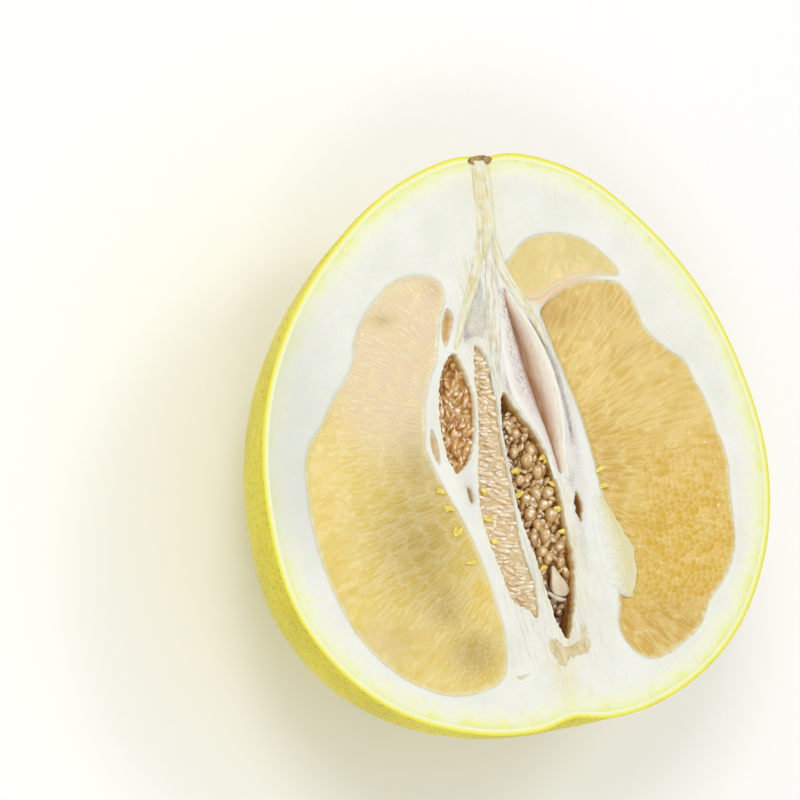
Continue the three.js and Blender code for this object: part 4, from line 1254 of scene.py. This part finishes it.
def lofted(name, stations, rows, columns, thick, ripple, seed, threads, ragged=0.0):
    """A thin sheet through stations, as a grid bent to them and given its thickness. ripple and
    threads are the height of its waves and of the ridges along it, ragged how uneven its last
    edge is."""
    given = np.array(stations, float)
    piece = primitive(name, bpy.ops.mesh.primitive_grid_add, x_subdivisions=rows,
                      y_subdivisions=columns, size=2 * MM)
    p = points_of(piece)
    along = (p[:, 0] + 1) / 2 * (given.shape[0] - 1)
    across = (p[:, 1] + 1) / 2 * (given.shape[1] - 1)

    def span(t, count):
        i = np.clip(np.floor(t).astype(int), 0, count - 2)
        return [np.clip(i + k, 0, count - 1) for k in (-1, 0, 1, 2)], t - i

    def blend(a, b, c, d, t):
        t = t[:, None]
        return b + 0.5 * t * (c - a + t * (2 * a - 5 * b + 4 * c - d + t * (3 * (b - c) + d - a)))

    rows_at, f = span(along, given.shape[0])
    columns_at, g = span(across, given.shape[1])
    lines = [blend(*(given[r, c] for r in rows_at), f) for c in columns_at]
    sheet = blend(*lines, g)
    v = across / (given.shape[1] - 1)
    length = np.linalg.norm(np.diff(given[:, 1], axis=0), axis=1).sum()
    width = np.linalg.norm(given[:, -1] - given[:, 0], axis=1).mean()
    flat = np.column_stack([v * width, along / (given.shape[0] - 1) * length])
    ridges = rough(flat * (1.6, 0.12), 1.0, seed + 1, 2)
    waves = ripple * rough(flat, 2.2, seed) * np.sin(np.pi * np.clip(v * 1.15, 0, 1))
    sheet[:, 2] += FACE_Z + waves + threads * ridges
    sheet[:, 0] += ragged * rough(flat * (0.0, 1.0), 2.6, seed + 2) * step_up(0.5, 1.0, v)
    move_to(piece, sheet)
    mark(piece, "across", v)
    mark(piece, "along", flat[:, 1])
    mark(piece, "ridge", 0.5 + 0.5 * ridges)
    apply(piece, "SOLIDIFY", thickness=thick * MM, offset=0.0, use_even_offset=False)
    face_out(piece)
    piece.data.shade_smooth()
    return piece


def fold_stations(edge, beyond, profile):
    """A membrane that starts beyond the hollow's edge, swells and falls to the crease. profile is
    how far across it each point is, and how far down."""
    rows = []
    for start, (x, y, z) in zip(edge, CREASE):
        start += beyond
        rows.append([(start + across * (x - start), y, -0.1 + down * (z + 0.1)) for across, down in profile])
    top = [(3.4 + 0.25 * (px - 4.0), 44.5, -0.2) for px, py, pz in rows[0]]
    return [top] + rows


def make_folds():
    # The folds' second colours are a brown stain with painted shade in the crease
    lilac = membrane_finish("lilac_membrane", rgb(236, 226, 220), rgb(160, 102, 66), rgb(124, 88, 80))
    beige = membrane_finish("beige_membrane", rgb(248, 240, 222), rgb(194, 148, 106), rgb(186, 156, 132))
    profile = ((0, 0.12), (0.15, 0.0), (0.35, 0.06), (0.6, 0.25), (0.82, 0.6), (1, 1))
    left = lofted("fold_left", fold_stations(LEFT_EDGE, -1.8, profile), 130, 36, 0.6, 0.3, 101, 0.1)
    v, y = value_of(left, "across"), value_of(left, "along")
    # Darker towards the crease: stain and painted shade
    mark(left, "stain_and_shade", step_up(0.55, 1.0, v))
    mark(left, "speckle", np.clip(1.2 * np.exp(-((v - 0.6) / 0.26) ** 2) * step_up(50, 20, y), 0, 0.95))
    mark(left, "lip", step_up(0.42, 0.15, v))
    surfaced("membrane_left", "membrane_fold_left", left, lilac)
    profile = ((0, 0.12), (0.16, -0.07), (0.32, 0.0), (0.55, 0.2), (0.8, 0.58), (1, 1))
    right = lofted("fold_right", fold_stations(RIGHT_EDGE, 1.8, profile), 130, 36, 0.6, 0.3, 102, 0.1)
    v, y = value_of(right, "across"), value_of(right, "along")
    # Darker towards the crease: stain and painted shade
    mark(right, "stain_and_shade", np.clip(step_up(0.5, 1.0, v) + 0.15 * step_up(0.1, 0.5, v), 0, 1))
    mark(right, "speckle", 0.25 * np.ones_like(v))
    mark(right, "lip", step_up(0.42, 0.16, v))
    surfaced("membrane_right", "membrane_fold_right", right, beige)
    cream = membrane_finish("cream_membrane", rgb(238, 235, 218), rgb(230, 216, 160), rgb(216, 198, 130))
    flap = lofted("flap", FLAP, 90, 40, 0.3, 0.5, 103, 0.2, 0.5)
    v = value_of(flap, "across")
    mark(flap, "stain_and_shade", 0.9 * step_up(0.15, 0.7, v))
    mark(flap, "speckle", 0.4 * step_up(0.2, 0.6, v))
    mark(flap, "lip", step_up(0.3, 0.0, v) + 0.6 * step_up(0.93, 1.0, v))
    surfaced("membrane_over_pulp", "membrane_flap", flap, cream)


# The fibres' ribbons: at places along each [x, y, half its width, height of its middle]
TRUNK = (
    (1.9, 83, 2.9, 0.1), (1.7, 78, 3.0, 0.15), (1.5, 70, 2.9, 0.2), (0.8, 63, 2.8, 0.2),
    (0.3, 58, 2.7, 0.15), (0.1, 54, 2.2, 0.0), (0.0, 50, 1.4, -0.5),
)
LEG_LEFT = (
    (-1.3, 62, 0.8, 0.1), (-2.8, 56, 1.3, 0.22), (-5.0, 49.6, 1.4, 0.25), (-8.5, 42.4, 1.3, 0.22),
    (-11.6, 36, 1.1, 0.2), (-14.0, 30.4, 0.9, 0.12), (-15.6, 27.4, 0.5, -0.2),
)
LEG_RIGHT = (
    (2.1, 62, 0.8, 0.1), (2.8, 56, 1.3, 0.22), (3.9, 50.6, 1.4, 0.25), (5.9, 45.8, 1.4, 0.25),
    (8.3, 41.2, 1.3, 0.22), (10.6, 37, 1.1, 0.15), (12.8, 32, 0.8, 0.05), (14.6, 27, 0.5, -0.25),
)
COLUMN = (
    (0.5, 58.4, 0.3, 0.25), (0.4, 54, 1.0, 0.4), (-0.1, 49, 1.7, 0.4), (-0.6, 43, 2.1, 0.35),
    (-1.6, 36, 2.4, 0.3), (-2.6, 29.6, 2.3, 0.22), (-3.4, 23, 1.8, 0.15), (-4.0, 16, 1.1, 0.0),
    (-4.2, 11, 0.6, -0.4),
)
CURL = ((2.6, -44.6, 0.35, -1.6), (4.2, -46.0, 0.5, -1.5), (6.2, -46.9, 0.55, -1.9), (8.2, -47.2, 0.3, -2.6))


def ribbon(name, path, seed, threads, thick=0.5):
    """A flat band of fibres along a path, rounded across."""
    given = np.array(path, float)
    course = np.gradient(given[:, :2], axis=0)
    course /= np.hypot(*course.T)[:, None]
    aside = np.stack([-course[:, 1], course[:, 0]], 1)
    stations = []
    for (x, y, half, height), (sx, sy) in zip(given, aside):
        stations.append([
            (x + k * half * sx, y + k * half * sy, height - 0.45 * abs(k) ** 3)
            for k in (-1, -0.5, 0, 0.5, 1)
        ])
    return lofted(name, stations, 110, 22, thick, 0.08, seed, threads)


def make_strand():
    bands = [
        ribbon("trunk", TRUNK, 111, 0.14), ribbon("leg_left", LEG_LEFT, 112, 0.1),
        ribbon("leg_right", LEG_RIGHT, 113, 0.12), ribbon("column", COLUMN, 114, 0.12),
        ribbon("curl", CURL, 115, 0.0, 0.3),
    ]
    for band, grey in zip(bands, (0.0, 0.15, 0.2, 0.8, 1.0)):
        mark(band, "grey", grey)
    strand = joined("core_fibres", bands)
    f = Finish("pale_fibre")
    fine = f.range(f.noise(1.4, 4.0, 0.6, (1, 0.1, 1)), 0.3, 0.7, -0.25, 0.25)
    thread = f.range(f.maths("ADD", f.marked("ridge"), fine), 0.2, 0.8)
    cream = f.mix(thread, rgb(216, 202, 140), rgb(238, 231, 192))
    dull = f.mix(thread, rgb(206, 196, 176), rgb(240, 236, 224))
    colour = f.mix(f.marked("grey"), cream, dull)
    colour = f.mix(f.range(f.noise(0.35, 3.0), 0.35, 0.7, 0.0, 0.55), colour, rgb(238, 236, 226))
    f.bump(f.noise(2.0, 4.0, 0.6, (1, 0.15, 1)), 0.5, 0.3)
    surfaced("core_fibres", "core_strand", strand, f.moist(colour, 0.6, 0.3, 1.0))


def make_patch():
    loop = smooth_loop(FIBRE_PATCH, 0.4)
    ragged = loop + 0.25 * np.column_stack([rough(loop, 1.2, 121), rough(loop, 1.2, 122)])
    top, faces, (ring,) = fill_face([ragged], dots_in(ragged, 0.4, 123, 0.3))
    inside = depth_in(ragged, top, 2.0)
    z = -0.12 + 0.6 * step_up(0.0, 1.8, inside) + 0.3 * rough(top * (1.0, 0.45), 1.3, 124)
    low = np.column_stack([top[ring], np.full(len(ring), FACE_Z - 1.3)])
    under = len(top) + np.arange(len(ring))
    faces = faces.tolist() + strip(ring, under) + [under[::-1].tolist()]
    piece = add_mesh("fibre_mat", np.vstack([np.column_stack([top, FACE_Z + z]), low]), faces)
    face_out(piece)
    material = plain_finish(
        "beige_fibre", rgb(231, 219, 180), rgb(200, 180, 126), 0.4, 0.65, 0.3, (1, 0.4, 1))
    surfaced("fibre_mat", "fibre_patch", piece, material)


def make_stem():
    """The dry stub of the stem, sunk in its dimple and cut through with the fruit."""
    piece = primitive("stem_stub", bpy.ops.mesh.primitive_uv_sphere_add, segments=64, ring_count=40,
                      radius=MM)
    p = points_of(piece) * (3.8, 1.45, 4.4)
    crust = np.array([noise.fractal(q / 0.9, 1.0, 2.0, 4) for q in p])
    p *= (1 + 0.16 * crust)[:, None]
    p += (2.2, float(rim_radius(0.0)) - 1.1, FACE_Z - 0.2)
    p[:, 2] = np.minimum(p[:, 2], FACE_Z + 0.2 + 0.25 * crust)
    move_to(piece, p)
    piece.data.shade_smooth()
    material = plain_finish("dry_stem", rgb(206, 176, 108), rgb(118, 84, 44), 0.9, 0.8, 0.1, relief=0.4)
    surfaced("stem_stub", "stem_button", piece, material)


def make_seeds():
    waxy = plain_finish("yellow_seed", rgb(252, 234, 128), rgb(232, 194, 66), 0.7, 0.35, 0.4, coat=0.4)
    pattern = one_sac("seed_pattern", 0.4, 0.2, 132)
    draw = np.random.default_rng(131)
    for k, (x, y, z) in enumerate(SMALL_SEEDS, 1):
        name = f"tiny_seed_{k:02d}"
        turn = draw.uniform(-35, 35) + 180 * (draw.random() < 0.5)
        pieces = []
        for share in (1.0, 0.7):
            size = share * np.array([draw.uniform(1.6, 1.9), draw.uniform(0.85, 1.05), 0.8])
            stray = (1 - share) * draw.uniform(-4, 4, 2)
            place = (x + stray[0], y + stray[1], FACE_Z + z + 0.5 - 0.4 * (1 - share))
            turned = set_at(place, size, turn + (1 - share) * 80, draw.uniform(-15, 15))
            pieces.append(copied(pattern, name, turned, 0.5))
        surfaced(name, f"seed_small_{k:02d}", joined(name, pieces), waxy)
    bpy.data.objects.remove(pattern)

    loop = smooth_loop(FLAT_SEED, 0.45)
    flat = primitive("flat_seed", bpy.ops.mesh.primitive_circle_add, vertices=len(loop), radius=MM,
                     fill_type="NGON")
    move_to(flat, np.column_stack([loop, np.full(len(loop), FACE_Z - 5.0)]))
    lift = {"value": (0, 0, 1.6 * MM)}
    in_edit(flat, lambda: bpy.ops.mesh.extrude_region_move(TRANSFORM_OT_translate=lift))
    apply(flat, "BEVEL", width=0.5 * MM, segments=4, limit_method="ANGLE")
    face_out(flat)
    smooth_within(flat, 50)
    husk = plain_finish("pale_husk", rgb(230, 218, 192), rgb(206, 188, 154), 0.35, 0.4, 0.4, (1, 0.4, 1), 0.3)
    surfaced("flat_seed", "seed_flat", flat, husk)


# Camera, floor and light

ELEVATION, SWING, LEAN = 62.0, 17.0, 9.155  # degrees: above the face, from -X to -Y, and roll
DISTANCE = 1100.0
PIXELS_PER_MM = 3.47323  # at the cut face, in the 800 pixel frame
FRAME = 800
AIM_PIXEL = (510.0, 444.0)  # where the face's reference point is seen
AIM_POINT = (-2.8, -1.031)  # that point in the part's frame
FLOOR_SIZE, FLOOR_WHITE, SKY = 6.0, 0.97, 0.7
LIGHTS = (
    # name, place and size in metres, power in watts
    ("high_left", (-0.45, 0.45, 1.4), 0.42, 4.6),
    ("front", (-0.55, -0.6, 1.25), 0.3, 2.0),
    ("right", (0.45, 0.3, 1.35), 0.3, 2.0),
)


def make_camera():
    elevation, swing, lean = (math.radians(a) for a in (ELEVATION, SWING, LEAN))
    level = -math.cos(elevation)
    back = Vector((level * math.cos(swing), level * math.sin(swing), math.sin(elevation)))
    level_up = (Vector((0, 1, 0)) - back * back.y).normalized()
    up = level_up * math.cos(lean) + level_up.cross(back) * math.sin(lean)
    right = up.cross(back)
    focal = PIXELS_PER_MM * DISTANCE
    middle = FRAME / 2
    aim = right * ((middle - AIM_PIXEL[0]) / focal) - up * ((middle - AIM_PIXEL[1]) / focal) - back
    aim.normalize()
    right = aim.cross(up).normalized()
    up = right.cross(aim)
    data = bpy.data.cameras.new("camera")
    data.sensor_width = 36.0
    data.lens = focal * data.sensor_width / FRAME
    data.clip_start, data.clip_end = 0.05, 20.0
    camera = bpy.data.objects.new("camera", data)
    bpy.context.scene.collection.objects.link(camera)
    place = (Vector((*AIM_POINT, FACE_Z)) + back * DISTANCE) * MM
    turned = Matrix((right, up, -aim)).transposed().to_4x4()
    camera.matrix_world = Matrix.Translation(place) @ turned
    bpy.context.scene.camera = camera


def area_light(name, place, size, power):
    data = bpy.data.lights.new(name, "AREA")
    data.size, data.energy = size, power
    light = bpy.data.objects.new(name, data)
    light.location = place
    light.rotation_euler = (-Vector(place)).to_track_quat("-Z", "Y").to_euler()
    bpy.context.scene.collection.objects.link(light)


def make_stage():
    floor = primitive("floor", bpy.ops.mesh.primitive_plane_add, size=FLOOR_SIZE)
    f = Finish("pale_floor")
    f.bump(f.noise(0.02, 2.0), 0.02, 0.2)
    floor.data.materials.append(f.finish(Base_Color=(*(FLOOR_WHITE,) * 3, 1.0), Roughness=0.7))
    world = bpy.data.worlds.new("studio")
    world.use_nodes = True
    sky = world.node_tree.nodes["Background"].inputs
    sky["Color"].default_value = (1, 1, 1, 1)
    sky["Strength"].default_value = SKY
    bpy.context.scene.world = world
    for light in LIGHTS:
        area_light(*light)
    view = bpy.context.scene.view_settings
    view.view_transform = "Standard"
    view.look = "None"


make_camera()
make_stage()
make_rind()
make_pith()
make_pulps()
make_left_pocket()
make_middle_pocket()
make_right_pocket()
make_folds()
make_strand()
make_patch()
make_stem()
make_seeds()
